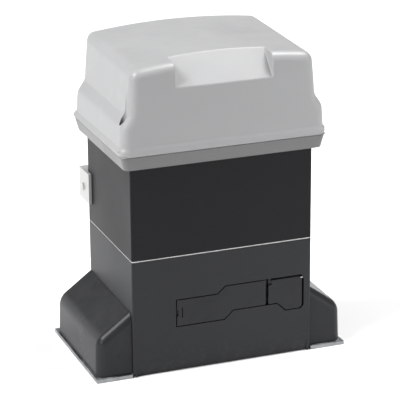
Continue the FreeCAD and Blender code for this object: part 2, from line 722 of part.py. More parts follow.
def turned(name, points):
    """A body turned about its own Z axis from radius and height points."""
    body = new_body(name)
    sketch = outline(body, "y", 0.0, points)
    feature = body.newObject("PartDesign::Revolution", name + "Turn")
    feature.Profile = sketch
    feature.ReferenceAxis = (sketch, ["V_Axis"])
    feature.Angle = 360
    return body


def turned_along_y(name, points):
    """A body turned about its own Y axis from radius and Y points."""
    body = new_body(name)
    sketch = outline(body, "z", 0.0, points)
    feature = body.newObject("PartDesign::Revolution", name + "Turn")
    feature.Profile = sketch
    feature.ReferenceAxis = (sketch, ["V_Axis"])
    feature.Angle = 360
    return body


def round_edges(body, radius, pick):
    """Rounds the edges of a body that pick chooses."""
    DOC.recompute()
    tip = body.Tip
    names = [f"Edge{index + 1}" for index, edge in enumerate(tip.Shape.Edges) if pick(edge)]
    feature = body.newObject("PartDesign::Fillet", body.Name + "Round")
    feature.Base = (tip, names)
    bind(feature, "Radius", radius)
    return body


def pattern(body, feature, count, role):
    """Repeats a feature evenly about one of the body's own axes."""
    repeat = body.newObject("PartDesign::PolarPattern", body.Name + "Repeat")
    repeat.Originals = [feature]
    repeat.Axis = (origin_item(body, role), [""])
    repeat.Angle = 360
    bind(repeat, "Occurrences", count)
    body.Tip = repeat
    return repeat


def corners_of(edge):
    return [vertex.Point for vertex in edge.Vertexes]


def runs_along(axis):
    """Picks straight edges that run along an axis."""
    def pick(edge):
        points = corners_of(edge)
        if len(points) != 2:
            return False
        way = points[1] - points[0]
        return abs(getattr(way, axis)) > 0.99 * way.Length
    return pick


def lies_at(edge, axis, value):
    """Whether an edge lies wholly at one place along an axis."""
    return all(abs(getattr(point, axis) - value) < 0.01 for point in corners_of(edge))


def rectangle(half_x, half_y):
    return [(-half_x, -half_y), (half_x, -half_y), (half_x, half_y), (-half_x, half_y)]


def four(x, y):
    """The four places of a rectangular pattern."""
    return [(x * side, y * end) for side in (-1, 1) for end in (-1, 1)]


def front_pair(x, y):
    """The two places of that pattern at the front."""
    return [(-x, -y), (x, -y)]


def rounded_block(name, half_x, half_y, ends, radius):
    """An upright block about the middle with rounded vertical corners."""
    body = prism(name, "z", ends, rectangle(half_x, half_y))
    return round_edges(body, radius, runs_along("z"))


# Places that several pieces share

front = -s.case_half_deep
back = s.case_half_deep
motor_x = -s.motor_x
output_x = s.worm_radius + s.gear_module * s.wheel_teeth / 2 - s.motor_x
recess_floor = front + s.recess_deep
hinge_y = front + s.knuckle_radius
cap_pin_y = front + s.cap_pin_y
cap_pin_z = s.recess_high - s.cap_pin_drop
cap_left = s.hinge_x + s.knuckle_radius + s.lever_gap
front_bearing = run(-s.sump_front + s.bearing_lip, s.front_bearing_wide)
rear_bearing = (s.sump_back - s.bearing_lip - s.rear_bearing_wide, s.sump_back - s.bearing_lip)
seal_ends = (back - s.seal_inset - s.seal_wide, back - s.seal_inset)
rod_front = front + s.lever_thick + s.lever_rim
hub_back = -s.wheel_half - s.hub_gap
hub_ends = (hub_back - s.hub_thick, hub_back)
pinion_teeth_start = s.pinion_start + s.pinion_boss_long
pinion_end = pinion_teeth_start + s.pinion_wide
shaft_end = pinion_end - s.shaft_short
board_top = s.board_low + s.board_thick
AT_OUTPUT = {"x": output_x, "z": s.output_z}
AT_MOTOR = {"x": motor_x, "y": 0.0}


# Share of the gap by which the ends of a slanted edge shift along it
SLANT = 0.4
# Drop of a cover's sloped roof when its walls move in by one unit
ROOF = 1.4


def recess_outline(gap):
    """The release panel's outline in the front wall, drawn in by a gap, from the top left clockwise."""
    left = -s.recess_left + gap
    right = s.recess_right - gap
    low = s.recess_low + gap
    high = s.recess_high - gap
    left_high = s.recess_left_high - gap
    mid_low = s.recess_mid_low + gap
    return [
        (left, left_high),
        (-s.rise_start + gap * SLANT, left_high),
        (s.rise_end + gap * SLANT, high),
        (right - s.recess_corner, high),
        (right, high - s.recess_corner),
        (right, low + s.recess_corner),
        (right - s.recess_corner, low),
        (s.drop_end + gap * SLANT, low),
        (s.drop_start + gap * SLANT, mid_low),
        (s.dip_end - gap * SLANT, mid_low),
        (s.dip_start - gap * SLANT, low),
        (left, low),
    ]


def make_foundation_plate():
    """Flat plate with anchor holes, tapped bolt holes and a cut-out below the cable bay."""
    plate = block("Plate", (-s.plate_half_wide, s.plate_half_wide), (-s.plate_front, s.plate_back),
                  (0, s.plate_thick))
    through = (-1.0, s.plate_thick + 1)
    tools = [
        block("PlateRelief", pair(0, s.case_half_wide + 1),
              (-s.plate_front - 1, s.plate_relief - s.plate_front),
              through),
        block("PlateCableHole", (-s.bay_left, -s.bay_right), pair(0, s.bay_half / 2), through),
    ]
    for x, y in four(s.anchor_x, s.anchor_y):
        tools.append(cylinder("PlateAnchorHole", s.anchor_hole, "z", through, x=x, y=y))
    for x, y in four(s.foot_bolt_x, s.foot_bolt_y):
        tools.append(cylinder("PlateBoltHole", s.foot_bolt + s.running, "z", through, x=x, y=y))
    node("foundation_plate", less("PlateCut", plate, *tools))


def make_gear_case():
    """Outer case with feet and cable bay, and the gear chamber that is fixed in it."""
    shell = rounded_block("CaseShell", s.case_half_wide, s.case_half_deep, (s.plate_thick, s.case_top),
                          s.case_corner)
    skirt = block("CaseSkirt", pair(0, s.case_half_wide - s.case_corner),
                  run(front, s.skirt_thick), (s.skirt_gap, s.plate_thick + 1))
    foot_top = s.plate_thick + s.foot_thick
    feet = block("CaseFeet", pair(0, s.foot_end), (-s.foot_front, s.foot_back),
                 (s.plate_thick, foot_top))
    body = joined("CaseBody", shell, skirt, feet)

    above = s.case_top + 1
    inner_x = s.case_half_wide - s.case_wall
    inner_y = s.case_half_deep - s.case_wall
    below = s.plate_thick - 1
    tools = [
        block("CaseDryHollow", pair(0, inner_x), pair(0, inner_y), (s.plate_thick - 0.5, s.dry_top)),
        block("CaseSump", (-s.sump_left, s.sump_right), (-s.sump_front, s.sump_back), (s.sump_floor, above)),
        block("CaseCableBay", (-s.bay_left, -s.bay_right), pair(0, s.bay_half), (below, above)),
        block("CaseDryPocket", (s.pocket_left, inner_x), pair(0, s.sump_front), (below, above)),
        prism("CaseRecess", "y", (front - 1, recess_floor), recess_outline(0.0)),
        prism("CaseScoop", "x", pair(0, s.scoop_half),
              [(front - 1, s.scoop_high), (front, s.scoop_high), (front + s.scoop_deep, s.skirt_gap - 1),
               (front - 1, s.skirt_gap - 1)]),
    ]
    hollowed = less("CaseHollowed", body, *tools)

    lug_left = cap_left + s.lever_gap / 2
    lug_low = cap_pin_z - s.cap_knuckle
    additions = [
        cylinder("CaseFrontBoss", s.front_bearing_radius + s.boss_wall, "y",
                 (-s.sump_front - 1, front_bearing[1]), **AT_OUTPUT),
        cylinder("CaseRearBoss", s.rear_bearing_radius + s.boss_wall, "y",
                 (rear_bearing[0], s.sump_back + 1), **AT_OUTPUT),
        cylinder("CaseWormBoss", s.small_bearing + s.case_wall, "z",
                 (s.sump_floor - 1, s.small_bearing_low + s.small_bearing_wide), **AT_MOTOR),
        block("CaseCapLug", run(lug_left, s.lug_wide), (front + s.cap_pin_y / 2, recess_floor),
              (lug_low, s.recess_high + 1)),
    ]
    bossed = joined("CaseBossed", hollowed, *additions)

    bolt_low = s.case_top - s.bolt_grip
    holes = [
        cylinder("CaseFrontSeat", s.front_bearing_radius + s.running, "y",
                 (front_bearing[0], front_bearing[1] + 1), **AT_OUTPUT),
        cylinder("CaseRearSeat", s.rear_bearing_radius + s.running, "y",
                 (rear_bearing[0] - 1, rear_bearing[1]), **AT_OUTPUT),
        cylinder("CaseSealSeat", s.seal_radius + s.running, "y", (seal_ends[0] - 1, back + 1), **AT_OUTPUT),
        cylinder("CaseSealLip", s.shaft_radius + s.case_wall, "y", (s.sump_back - 2, seal_ends[0]),
                 **AT_OUTPUT),
        cylinder("CaseNoseHole", s.nose_radius + s.hole_play * 5, "y",
                 (recess_floor - 1, front_bearing[0] + 1),
                 **AT_OUTPUT),
        cylinder("CaseWormSeat", s.small_bearing + s.running, "z", (s.small_bearing_low, s.worm_low),
                 **AT_MOTOR),
        cylinder("CaseWormEnd", s.small_bearing - s.case_wall, "z", (s.small_bearing_low - 3, s.worm_low),
                 **AT_MOTOR),
        cylinder("CasePinHole", s.lever_pin_radius + s.running, "z",
                 (s.recess_mid_low - s.pin_seat, s.recess_high + s.pin_seat), x=s.hinge_x, y=hinge_y),
        cylinder("CaseCapPinHole", s.cap_pin_radius + s.running, "x",
                 (lug_left - 1, s.recess_right + s.pin_seat),
                 y=cap_pin_y, z=cap_pin_z),
        cylinder("CasePlugHole", s.plug_radius + s.running, "y", (s.sump_back - 1, back + 1), x=-s.plug_x,
                 z=s.plug_z),
    ]
    for x, y in four(s.bolt_x, s.bolt_y):
        holes.append(cylinder("CaseBoltHole", s.bolt_radius + s.running, "z", (bolt_low, above), x=x, y=y))
    for x, y in four(s.foot_bolt_x, s.foot_bolt_y):
        holes.append(cylinder("CaseFootHole", s.foot_bolt + s.hole_play, "z", (below, foot_top + 1),
                              x=x, y=y))
    drilled = less("CaseDrilled", bossed, *holes)
    tub_x = (-s.bay_right, s.pocket_left)
    tub_z = (s.dry_top, above)
    tub = block("TubRoom", tub_x, pair(0, inner_y), tub_z)
    node("gear_case", less("CaseShellOnly", drilled, tub))
    tub_again = block("TubRoomAgain", tub_x, pair(0, inner_y), tub_z)
    node("gear_chamber", common("GearChamber", drilled, tub_again))


def make_side_cover(side, word):
    """Moulded cover over the two foot bolts on one side, open underneath and towards the case."""
    inner = s.case_half_wide + s.cover_gap

    def profile(shift, deeper):
        points = [
            (inner - deeper, s.plate_thick - deeper),
            (s.cover_out - shift, s.plate_thick - deeper),
            (s.cover_out_high - shift, s.cover_ridge - shift),
            (inner - deeper, s.cover_top - shift * ROOF),
        ]
        return [(x * side, z) for x, z in points]

    def rounded(name, shift, deeper, radius):
        ends = (-s.cover_front + shift, s.cover_back - shift)
        body = prism(name, "y", ends, profile(shift, deeper))
        wall_x = side * (inner - deeper).number
        bottom = (s.plate_thick - deeper).number

        def outer(edge):
            return not (lies_at(edge, "x", wall_x) or lies_at(edge, "z", bottom))
        return round_edges(body, radius, outer)

    shell = rounded("CoverOuter" + word, 0.0, 0.0, s.cover_round)
    hollow = rounded("CoverInner" + word, s.cover_wall, 1.0, s.cover_round - s.cover_wall)
    node("side_cover_" + word, less("Cover" + word, shell, hollow))


def make_fixings():
    """Oil plug, case bolts and foot bolts."""
    head = cylinder("PlugHead", s.plug_head, "y", run(back, s.plug_head_high), x=-s.plug_x, z=s.plug_z)
    thread = cylinder("PlugThread", s.plug_radius, "y", (back - s.plug_long, back), x=-s.plug_x, z=s.plug_z)
    socket = hexagon("PlugSocket", s.plug_radius / 2, (back - 1, back + s.plug_head_high + 1), -s.plug_x, 0.0,
                     "y", s.plug_z)
    node("oil_plug", less("Plug", joined("PlugSolid", head, thread), socket))

    bolts = []
    for x, y in four(s.bolt_x, s.bolt_y):
        shank = cylinder("BoltShank", s.bolt_radius, "z", (s.case_top - s.bolt_grip, floor_top), x=x, y=y)
        top = run(floor_top, s.bolt_head_high)
        head = cylinder("BoltHead", s.bolt_head, "z", top, x=x, y=y)
        socket = hexagon("BoltSocket", s.socket, (top[1] - s.socket, top[1] + 1), x, y)
        bolts.append(less("Bolt", joined("BoltSolid", shank, head), socket))
    node("case_bolts", group("CaseBolts", bolts))

    bolts = []
    seat = s.plate_thick + s.foot_thick
    for x, y in four(s.foot_bolt_x, s.foot_bolt_y):
        shank = cylinder("FootShank", s.foot_bolt, "z", (0, seat), x=x, y=y)
        bolts.append(joined("FootBolt", shank, hexagon("FootHead", s.foot_bolt_head,
                                                       run(seat, s.foot_bolt_high), x, y)))
    node("foot_bolts", group("FootBolts", bolts))


def make_release_lever():
    """Lever with ribs, a knuckle about the upright pin and a boss over the release rod."""
    points = recess_outline(s.rim_gap)
    top_left, rise_start, rise_end = points[0:3]
    dip_end, dip_start, low_left = points[9:12]
    high = rise_end[1]
    low = dip_end[1]
    face_ends = run(front, s.lever_thick)
    face = prism("LeverFace", "y", face_ends,
                 [top_left, rise_start, rise_end, (s.hinge_x, high), (s.hinge_x, low), dip_end, dip_start,
                  low_left])
    knuckle = cylinder("LeverKnuckle", s.knuckle_radius, "z", (low, high), x=s.hinge_x, y=hinge_y)
    left = top_left[0]
    rib_y = (face_ends[1] - 0.5, rod_front - s.boss_gap)
    ribs = [
        block("LeverGrip", run(left, s.rib_thick), (face_ends[1] - 0.5, recess_floor - 1),
              (low_left[1] + s.recess_corner, top_left[1] - s.recess_corner)),
        block("LeverLowRib", (left, s.hinge_x), rib_y, run(low, s.rib_thick)),
        block("LeverHighRib", (left, s.hinge_x), rib_y, (top_left[1] - s.rib_thick, top_left[1])),
        cylinder("LeverBoss", s.boss_radius, "y", rib_y, **AT_OUTPUT),
        block("LeverCatch", run(s.hinge_x, s.catch_reach), (hinge_y, hinge_y + s.catch_deep),
              pair(s.lock_z, s.tab_half)),
    ]
    solid = joined("LeverSolid", face, knuckle, *ribs)
    tools = [
        cylinder("LeverPinHole", s.lever_pin_radius + s.running, "z", (low - 1, high + 1),
                 x=s.hinge_x, y=hinge_y),
        block("LeverSlit", pair(-s.slit_x, s.slit_wide / 2), (front - 1, face_ends[1] + 1),
              (s.slit_low, s.slit_high)),
        block("LeverFinger", (left - 1, left + s.finger_wide), (front - 1, front + s.lever_thick / 2),
              (s.finger_low, s.finger_high)),
    ]
    node("release_lever", less("Lever", solid, *tools))


def make_lock():
    """Flap over the lock, both hinge pins, the lock body, its barrel and the tab that holds the lever."""
    points = recess_outline(s.rim_gap)
    drop_start = points[8]
    low = points[6][1]
    right = s.recess_right - s.cap_gap
    high = s.recess_high - s.cap_gap
    corner = s.recess_corner * 0.8
    lug_right = cap_left + s.lever_gap / 2 + s.lug_wide
    notch = cap_pin_z - s.cap_knuckle - s.lever_gap
    face_ends = run(front, s.cap_thick)
    face = prism("CapFace", "y", face_ends, [
        (cap_left, drop_start[1]), drop_start, (s.drop_end + s.lever_gap, low), (right - corner, low),
        (right, low + corner), (right, high - corner), (right - corner, high),
        (lug_right + s.lever_gap, high),
        (lug_right + s.lever_gap, notch), (cap_left, notch)])
    knuckle_x = (lug_right + s.lever_gap, right - corner)
    knuckle = cylinder("CapKnuckle", s.cap_knuckle, "x", knuckle_x, y=cap_pin_y, z=cap_pin_z)
    rim_y = (face_ends[1] - 0.5, face_ends[1] + s.rib_thick / 2)
    rim = block("CapRim", (s.drop_end + 1, right - corner), rim_y, run(low + 1, s.rib_thick))
    tool = cylinder("CapPinHole", s.cap_pin_radius + s.running, "x", (cap_left, s.recess_right), y=cap_pin_y,
                    z=cap_pin_z)
    node("lock_cap", less("Cap", joined("CapSolid", face, knuckle, rim), tool))
    pin_x = (cap_left + s.lever_gap / 2, s.recess_right + s.pin_seat - 0.2)
    cap_pin = cylinder("CapPin", s.cap_pin_radius, "x", pin_x, y=cap_pin_y, z=cap_pin_z)
    pin_z = (s.recess_mid_low - s.pin_seat + 0.2, s.recess_high + s.pin_seat - 0.2)
    lever_pin = cylinder("LeverPin", s.lever_pin_radius, "z", pin_z, x=s.hinge_x, y=hinge_y)
    node("hinge_pins", group("HingePins", [lever_pin, cap_pin]))

    at_lock = {"x": s.lock_x, "z": s.lock_z}
    tab_front = hinge_y + s.catch_deep + s.tab_play
    tab_back = tab_front + s.tab_thick
    body_ends = (tab_back + s.lock_gap, recess_floor)
    node("lock_body", ring("LockBody", s.lock_body_radius, s.barrel_radius + s.running, "y", body_ends,
                           **at_lock))
    barrel = cylinder("BarrelBar", s.barrel_radius, "y", (front + s.lock_front, recess_floor - 0.5),
                      **at_lock)
    key_hole = block("BarrelKey", pair(s.lock_x, s.key_slot),
                     (front + s.lock_front - 1, front + s.lock_front + s.key_deep_in),
                     pair(s.lock_z, s.barrel_radius - 1.5))
    node("lock_barrel", less("Barrel", barrel, key_hole))
    collar = cylinder("TabCollar", s.lock_body_radius - 0.5, "y", (tab_front, tab_back), **at_lock)
    arm = block("TabArm", pair(s.lock_x, s.tab_half), (tab_front, tab_back),
                run(s.lock_z, s.lock_x - cap_left))
    hole = cylinder("TabHole", s.barrel_radius, "y", (tab_front - 1, tab_back + 1), **at_lock)
    node("lock_tab", less("Tab", joined("TabSolid", collar, arm), hole))


def make_bearing(name, title, outer, inner, axis, ends, **centre):
    """Sealed ball bearing: rings with a shallow recess on both faces."""
    rim = (outer - inner) / 4
    solid = ring(title, outer, inner, axis, ends, **centre)
    dips = []
    for face in (ends[0], ends[1]):
        dips.append(ring(title + "Dip", outer - rim, inner + rim, axis, pair(face, s.bearing_dip), **centre))
    node(name, less(title + "Sealed", solid, *dips))


def make_output_bearings():
    make_bearing("front_shaft_bearing", "FrontBearing", s.front_bearing_radius, s.nose_radius + s.running,
                 "y", front_bearing, **AT_OUTPUT)
    make_bearing("rear_shaft_bearing", "RearBearing", s.rear_bearing_radius, s.shaft_radius + s.running, "y",
                 rear_bearing, **AT_OUTPUT)
    node("oil_seal", ring("OilSeal", s.seal_radius, s.shaft_radius + s.running, "y", seal_ends, **AT_OUTPUT))


def make_output_shaft():
    """Shaft with the release rod's bore, the cross pin's slot and the key's seat."""
    nose = -s.sump_front
    shoulder = front_bearing[1]
    seat = s.pinion_start
    body = turned_along_y("OutputShaft", [
        (0, nose), (s.nose_radius, nose), (s.nose_radius, shoulder), (s.shaft_radius, shoulder),
        (s.shaft_radius, seat), (s.seat_radius, seat), (s.seat_radius, shaft_end), (0, shaft_end)])
    place(body, output_x, 0.0, s.output_z)
    rod_end = spring_back()
    slot_y = (-s.cross_y - s.rod_travel - s.cross_radius - s.hole_play,
              s.cross_radius + s.hole_play - s.cross_y)
    tools = [
        cylinder("ShaftBore", s.rod_bore, "y", (nose - 1, rod_end), **AT_OUTPUT),
        block("ShaftSlot", pair(output_x, s.shaft_radius + 1), slot_y,
              pair(s.output_z, s.cross_radius + s.hole_play)),
        block("ShaftKeySeat", pair(output_x, s.key_half), key_ends(),
              (s.output_z + s.seat_radius - s.key_deep, s.output_z + s.seat_radius + 1)),
        cylinder("ShaftEndHole", s.end_bolt + s.running, "y", (shaft_end - s.end_bolt_long, shaft_end + 1),
                 **AT_OUTPUT),
    ]
    node("output_shaft", less("ShaftCut", body, *tools))


def key_ends():
    return run(s.pinion_start + s.key_inset, s.key_long)


def spring_back():
    """Rear end of the rod's spring, which is the bottom of the shaft's bore."""
    return -s.cross_y + s.cross_radius * 2 + s.spring_space


def make_release_rod():
    """Rod in the shaft's bore, its cross pin and the spring behind it."""
    rod_back = -s.cross_y + s.cross_radius * 2
    bar = cylinder("RodBar", s.rod_radius, "y", (rod_front, rod_back), **AT_OUTPUT)
    head = cylinder("RodHead", s.rod_head, "y", run(rod_front, s.rod_head_thick), **AT_OUTPUT)
    hole = cylinder("RodHole", s.cross_radius + s.running, "x", pair(output_x, s.rod_head), y=-s.cross_y,
                    z=s.output_z)
    node("release_rod", less("Rod", joined("RodSolid", bar, head), hole))
    node("cross_pin", cylinder("CrossPin", s.cross_radius, "x", pair(output_x, s.hub_radius - 0.5),
                               y=-s.cross_y, z=s.output_z))

    body = new_body("RodSpring")
    body.Placement = Placement(Vector(), ALONG["y"])
    place(body, output_x, rod_back + s.spring_wire + 0.05, s.output_z)
    reach = s.rod_radius - s.spring_wire - 0.2
    sketch = new_sketch(body, "y", 0.0)
    sketch.addGeometry(Part.Circle(Vector(reach.number, 0, 0), Vector(0, 0, 1), s.spring_wire.number))
    for kind, item, value in (("DistanceX", (-1, 1, 0, 3), reach), ("Radius", (0,), s.spring_wire)):
        datum = sketch.addConstraint(Sketcher.Constraint(kind, *item, value.number))
        sketch.setExpression(f"Constraints[{datum}]", value.text)
    sketch.addConstraint(Sketcher.Constraint("PointOnObject", 0, 3, -1))
    coil = body.newObject("PartDesign::AdditiveHelix", "RodSpringCoil")
    coil.Profile = sketch
    coil.ReferenceAxis = (sketch, ["V_Axis"])
    coil.Mode = "pitch-height-angle"
    height = s.spring_space - s.spring_wire * 2 - 0.1
    bind(coil, "Height", height)
    bind(coil, "Pitch", height / s.spring_turns)
    node("rod_spring", body)


def make_worm_shaft():
    """Motor shaft with a right-hand worm cut on its lower end."""
    lower = s.lower_bearing_low
    rotor_low = lower + s.motor_bearing_wide + 0.5
    rotor_high = s.upper_bearing_low - 0.5
    tail_low = s.upper_bearing_low + s.motor_bearing_wide + 1
    root = s.worm_radius - s.tooth_root
    end = s.small_bearing_low + 0.5
    body = turned("WormShaft", [
        (0, end), (s.journal, end), (s.journal, s.worm_low), (root, s.worm_low), (root, s.worm_high),
        (s.neck, s.worm_high), (s.neck, lower - 0.5), (s.journal, lower - 0.5), (s.journal, rotor_low),
        (s.rotor_seat, rotor_low), (s.rotor_seat, rotor_high), (s.journal, rotor_high), (s.journal, tail_low),
        (s.tail, tail_low), (s.tail, s.tail_top), (0, s.tail_top)])
    pitch = s.gear_module * math.pi
    start = s.output_z - pitch * s.worm_turns / 2
    inner = root - 0.4
    outer = s.worm_radius + s.tooth_rise

    def half(radius):
        return s.worm_tooth / 2 - (radius - s.worm_radius) * s.worm_flank
    thread = outline(body, "y", 0.0, [
        (inner, start - half(inner)), (outer, start - half(outer)), (outer, start + half(outer)),
        (inner, start + half(inner))])
    helix = body.newObject("PartDesign::AdditiveHelix", "WormThread")
    helix.Profile = thread
    helix.ReferenceAxis = (thread, ["V_Axis"])
    helix.Mode = "pitch-height-angle"
    bind(helix, "Pitch", pitch)
    bind(helix, "Height", pitch * s.worm_turns)
    place(body, motor_x, 0.0, 0.0)
    node("worm_shaft", body)


def make_worm_wheel():
    """Bronze wheel: tooth gaps follow the worm's lead, and four pockets take the clutch's dogs."""
    pitch_radius = s.gear_module * s.wheel_teeth / 2
    tip = pitch_radius + s.tooth_rise
    body = new_body("WormWheel")
    pad(body, circle(body, "y", -s.wheel_half, tip), s.wheel_half * 2)
    lead = s.gear_module / s.worm_radius / 2
    over = s.wheel_half + 1
    lift = over * lead

    def half(radius):
        return s.wheel_gap / 2 + (radius - pitch_radius) * s.wheel_flank
    inner = pitch_radius - s.tooth_root
    outer = tip + 1
    sketch = outline(body, "y", -over, [
        (-outer, lift - half(outer)), (-inner, lift - half(inner)), (-inner, lift + half(inner)),
        (-outer, lift + half(outer))])
    gap = body.newObject("PartDesign::Pocket", "WormWheelGap")
    gap.Profile = sketch
    gap.Type = "Length"
    gap.UseCustomVector = True
    gap.Direction = Vector(0, -1, -lead.number)
    bind(gap, "Length", over * 2 + s.running)
    pattern(body, gap, s.wheel_teeth, "Y_Axis")
    place(body, output_x, 0.0, s.output_z)

    tools = [cylinder("WheelBore", s.shaft_radius + s.running, "y", pair(0, over), **AT_OUTPUT)]
    depth = (-s.wheel_half - 1, s.dog_high + s.dog_play - s.wheel_half)
    tools += dogs("WheelPocket", depth, s.dog_play)
    node("worm_wheel", less("WheelCut", body, *tools))


def dogs(name, depth, play):
    """Four blocks round the output shaft, for the dogs and for their pockets."""
    blocks = []
    inner = s.dog_inner - play
    outer = s.dog_outer + play
    half = s.dog_half + play
    for side in (-1, 1):
        ends = sorted((inner * side, outer * side), key=lambda size: size.number)
        along_x = tuple(output_x + end for end in ends)
        along_z = tuple(s.output_z + end for end in ends)
        blocks.append(block(name, along_x, depth, pair(s.output_z, half)))
        blocks.append(block(name, pair(output_x, half), depth, along_z))
    return blocks


def make_clutch():
    """Dog hub in front of the wheel, disc springs and nut behind it."""
    bar = cylinder("HubBar", s.hub_radius, "y", hub_ends, **AT_OUTPUT)
    teeth = dogs("HubDog", (hub_back - 0.5, s.dog_high - s.wheel_half), 0.0)
    solid = joined("HubSolid", bar, *teeth)
    bore = cylinder("HubBore", s.shaft_radius + s.running, "y", (hub_ends[0] - 1, hub_back + s.dog_high * 3),
                    **AT_OUTPUT)
    hole = cylinder("HubPinHole", s.cross_radius + s.running, "x", pair(output_x, s.hub_radius + 1),
                    y=-s.cross_y, z=s.output_z)
    node("clutch_hub", less("Hub", solid, bore, hole))

    bore = s.shaft_radius + s.running
    discs = []
    for index in range(2):
        start = s.wheel_half + s.disc_gap + (s.disc_thick + s.disc_gap) * index
        thin = s.disc_thick / 2
        rise = thin if index == 0 else -thin
        low_in = start + (thin if index else 0.0)
        disc = turned_along_y("DiscSpring", [
            (bore, low_in), (s.disc_radius, low_in + rise), (s.disc_radius, low_in + rise + thin),
            (bore, low_in + thin)])
        discs.append(place(disc, output_x, 0.0, s.output_z))
    node("disc_springs", group("DiscSprings", discs))

    nut_start = s.wheel_half + s.disc_gap + (s.disc_thick + s.disc_gap) * 2
    nut = ring("Nut", s.nut_radius, bore, "y", run(nut_start, s.nut_thick), **AT_OUTPUT)
    notch_y = (nut_start + 1, nut_start + s.nut_thick + 1)
    notches = []
    for side in (-1, 1):
        reach = sorted((s.nut_radius * 0.85 * side, (s.nut_radius + 1) * side), key=lambda size: size.number)
        notches.append(block("NutNotch", tuple(output_x + end for end in reach), notch_y,
                             pair(s.output_z, s.nut_notch)))
        notches.append(block("NutNotch", pair(output_x, s.nut_notch), notch_y,
                             tuple(s.output_z + end for end in reach)))
    node("clutch_nut", less("NutCut", nut, *notches))


def make_pinion():
    """Steel pinion for the gate's rack, with a boss, a keyway and its end bolt and washer."""
    pitch_radius = s.pinion_module * s.pinion_teeth / 2
    tip = pitch_radius + s.pinion_rise
    body = new_body("Pinion")
    pad(body, circle(body, "y", -pinion_end, tip), s.pinion_wide)

    def half(radius):
        return s.pinion_module * math.pi / 4 + s.pinion_play + (radius - pitch_radius) * s.pinion_slope
    inner = pitch_radius - s.pinion_root
    outer = tip + 1
    sketch = outline(body, "y", -pinion_end - 1, [
        (-half(inner), inner), (-half(outer), outer), (half(outer), outer), (half(inner), inner)])
    gap = body.newObject("PartDesign::Pocket", "PinionGap")
    gap.Profile = sketch
    gap.Type = "Length"
    gap.Reversed = True
    bind(gap, "Length", s.pinion_wide + 2)
    pattern(body, gap, s.pinion_teeth, "Y_Axis")
    place(body, output_x, 0.0, s.output_z)
    boss = cylinder("PinionBoss", s.pinion_boss, "y", (s.pinion_start, pinion_teeth_start + 1), **AT_OUTPUT)
    whole = (s.pinion_start - 1, pinion_end + 1)
    bore = cylinder("PinionBore", s.seat_radius + s.running, "y", whole, **AT_OUTPUT)
    key_top = s.output_z + s.seat_radius + s.key_proud
    keyway = block("PinionKeyway", pair(output_x, s.key_half), whole, (s.output_z, key_top + s.hole_play))
    node("pinion", less("PinionCut", joined("PinionSolid", body, boss), bore, keyway))
    node("pinion_key", block("PinionKey", pair(output_x, s.key_half), key_ends(),
                             (s.output_z + s.seat_radius - s.key_deep, key_top)))

    washer_y = run(pinion_end, s.washer_thick)
    washer = ring("EndWasher", s.washer_radius, s.end_bolt + s.hole_play, "y", washer_y, **AT_OUTPUT)
    shank = cylinder("EndShank", s.end_bolt, "y", (shaft_end - s.end_bolt_long, washer_y[1]), **AT_OUTPUT)
    head = hexagon("EndHead", s.end_bolt_head, run(washer_y[1], s.end_bolt_high), output_x, 0.0, "y",
                   s.output_z)
    node("pinion_bolt", group("PinionBolt", [washer, joined("EndBolt", shank, head)]))


def make_motor_housing():
    """Upper casing: outer walls, floor, and the tube that holds the stator."""
    shell = rounded_block("HousingShell", s.case_half_wide, s.case_half_deep, (housing_low, s.housing_top),
                          s.case_corner)
    above = s.housing_top + 1
    room = block("HousingRoom", pair(0, s.case_half_wide - s.housing_wall),
                 pair(0, s.case_half_deep - s.housing_wall), (floor_top, above))
    walls = less("HousingWalls", shell, room)
    tube = cylinder("HousingTube", s.tube_radius + s.tube_wall, "z", (floor_top - 1, s.tube_top), **AT_MOTOR)
    posts = []
    holes = []
    for x, y in four(s.tray_screw_x, s.tray_screw_y):
        post = (s.housing_top - s.post_high, s.housing_top)
        posts.append(cylinder("HousingPost", s.post_radius, "z", post, x=x, y=y))
        drill = (s.housing_top - s.tray_screw_long - 1, above)
        holes.append(cylinder("HousingPostHole", s.tray_screw + s.running, "z", drill, x=x, y=y))
    tools = [
        cylinder("HousingBore", s.tube_radius, "z", (floor_top, above), **AT_MOTOR),
        cylinder("HousingSpigotHole", s.spigot + s.press, "z", (housing_low - 1, floor_top + 1), **AT_MOTOR),
        block("HousingCableHole", (s.housing_wall - s.case_half_wide + 0.5,
                                   motor_x - s.tube_radius - s.tube_wall),
              pair(0, s.bay_half / 2), (housing_low - 1, floor_top + 1)),
    ]
    for x, y in four(s.bolt_x, s.bolt_y):
        tools.append(cylinder("HousingBoltHole", s.bolt_radius + s.hole_play, "z",
                              (housing_low - 1, floor_top + 1),
                              x=x, y=y))
    node("motor_housing", less("Housing", joined("HousingSolid", walls, tube, *posts), *tools, *holes))

    face_x = s.case_half_wide - s.gasket_set
    face_y = s.case_half_deep - s.gasket_set
    sheet = (s.case_top, housing_low)
    frame = rounded_block("GasketOuter", face_x, face_y, sheet, s.case_corner)
    window = block("GasketWindow", pair(0, s.case_half_wide - s.case_wall - 1),
                   pair(0, s.case_half_deep - s.case_wall - 1), (s.case_top - 1, housing_low + 1))
    node("case_gasket", less("Gasket", frame, window))


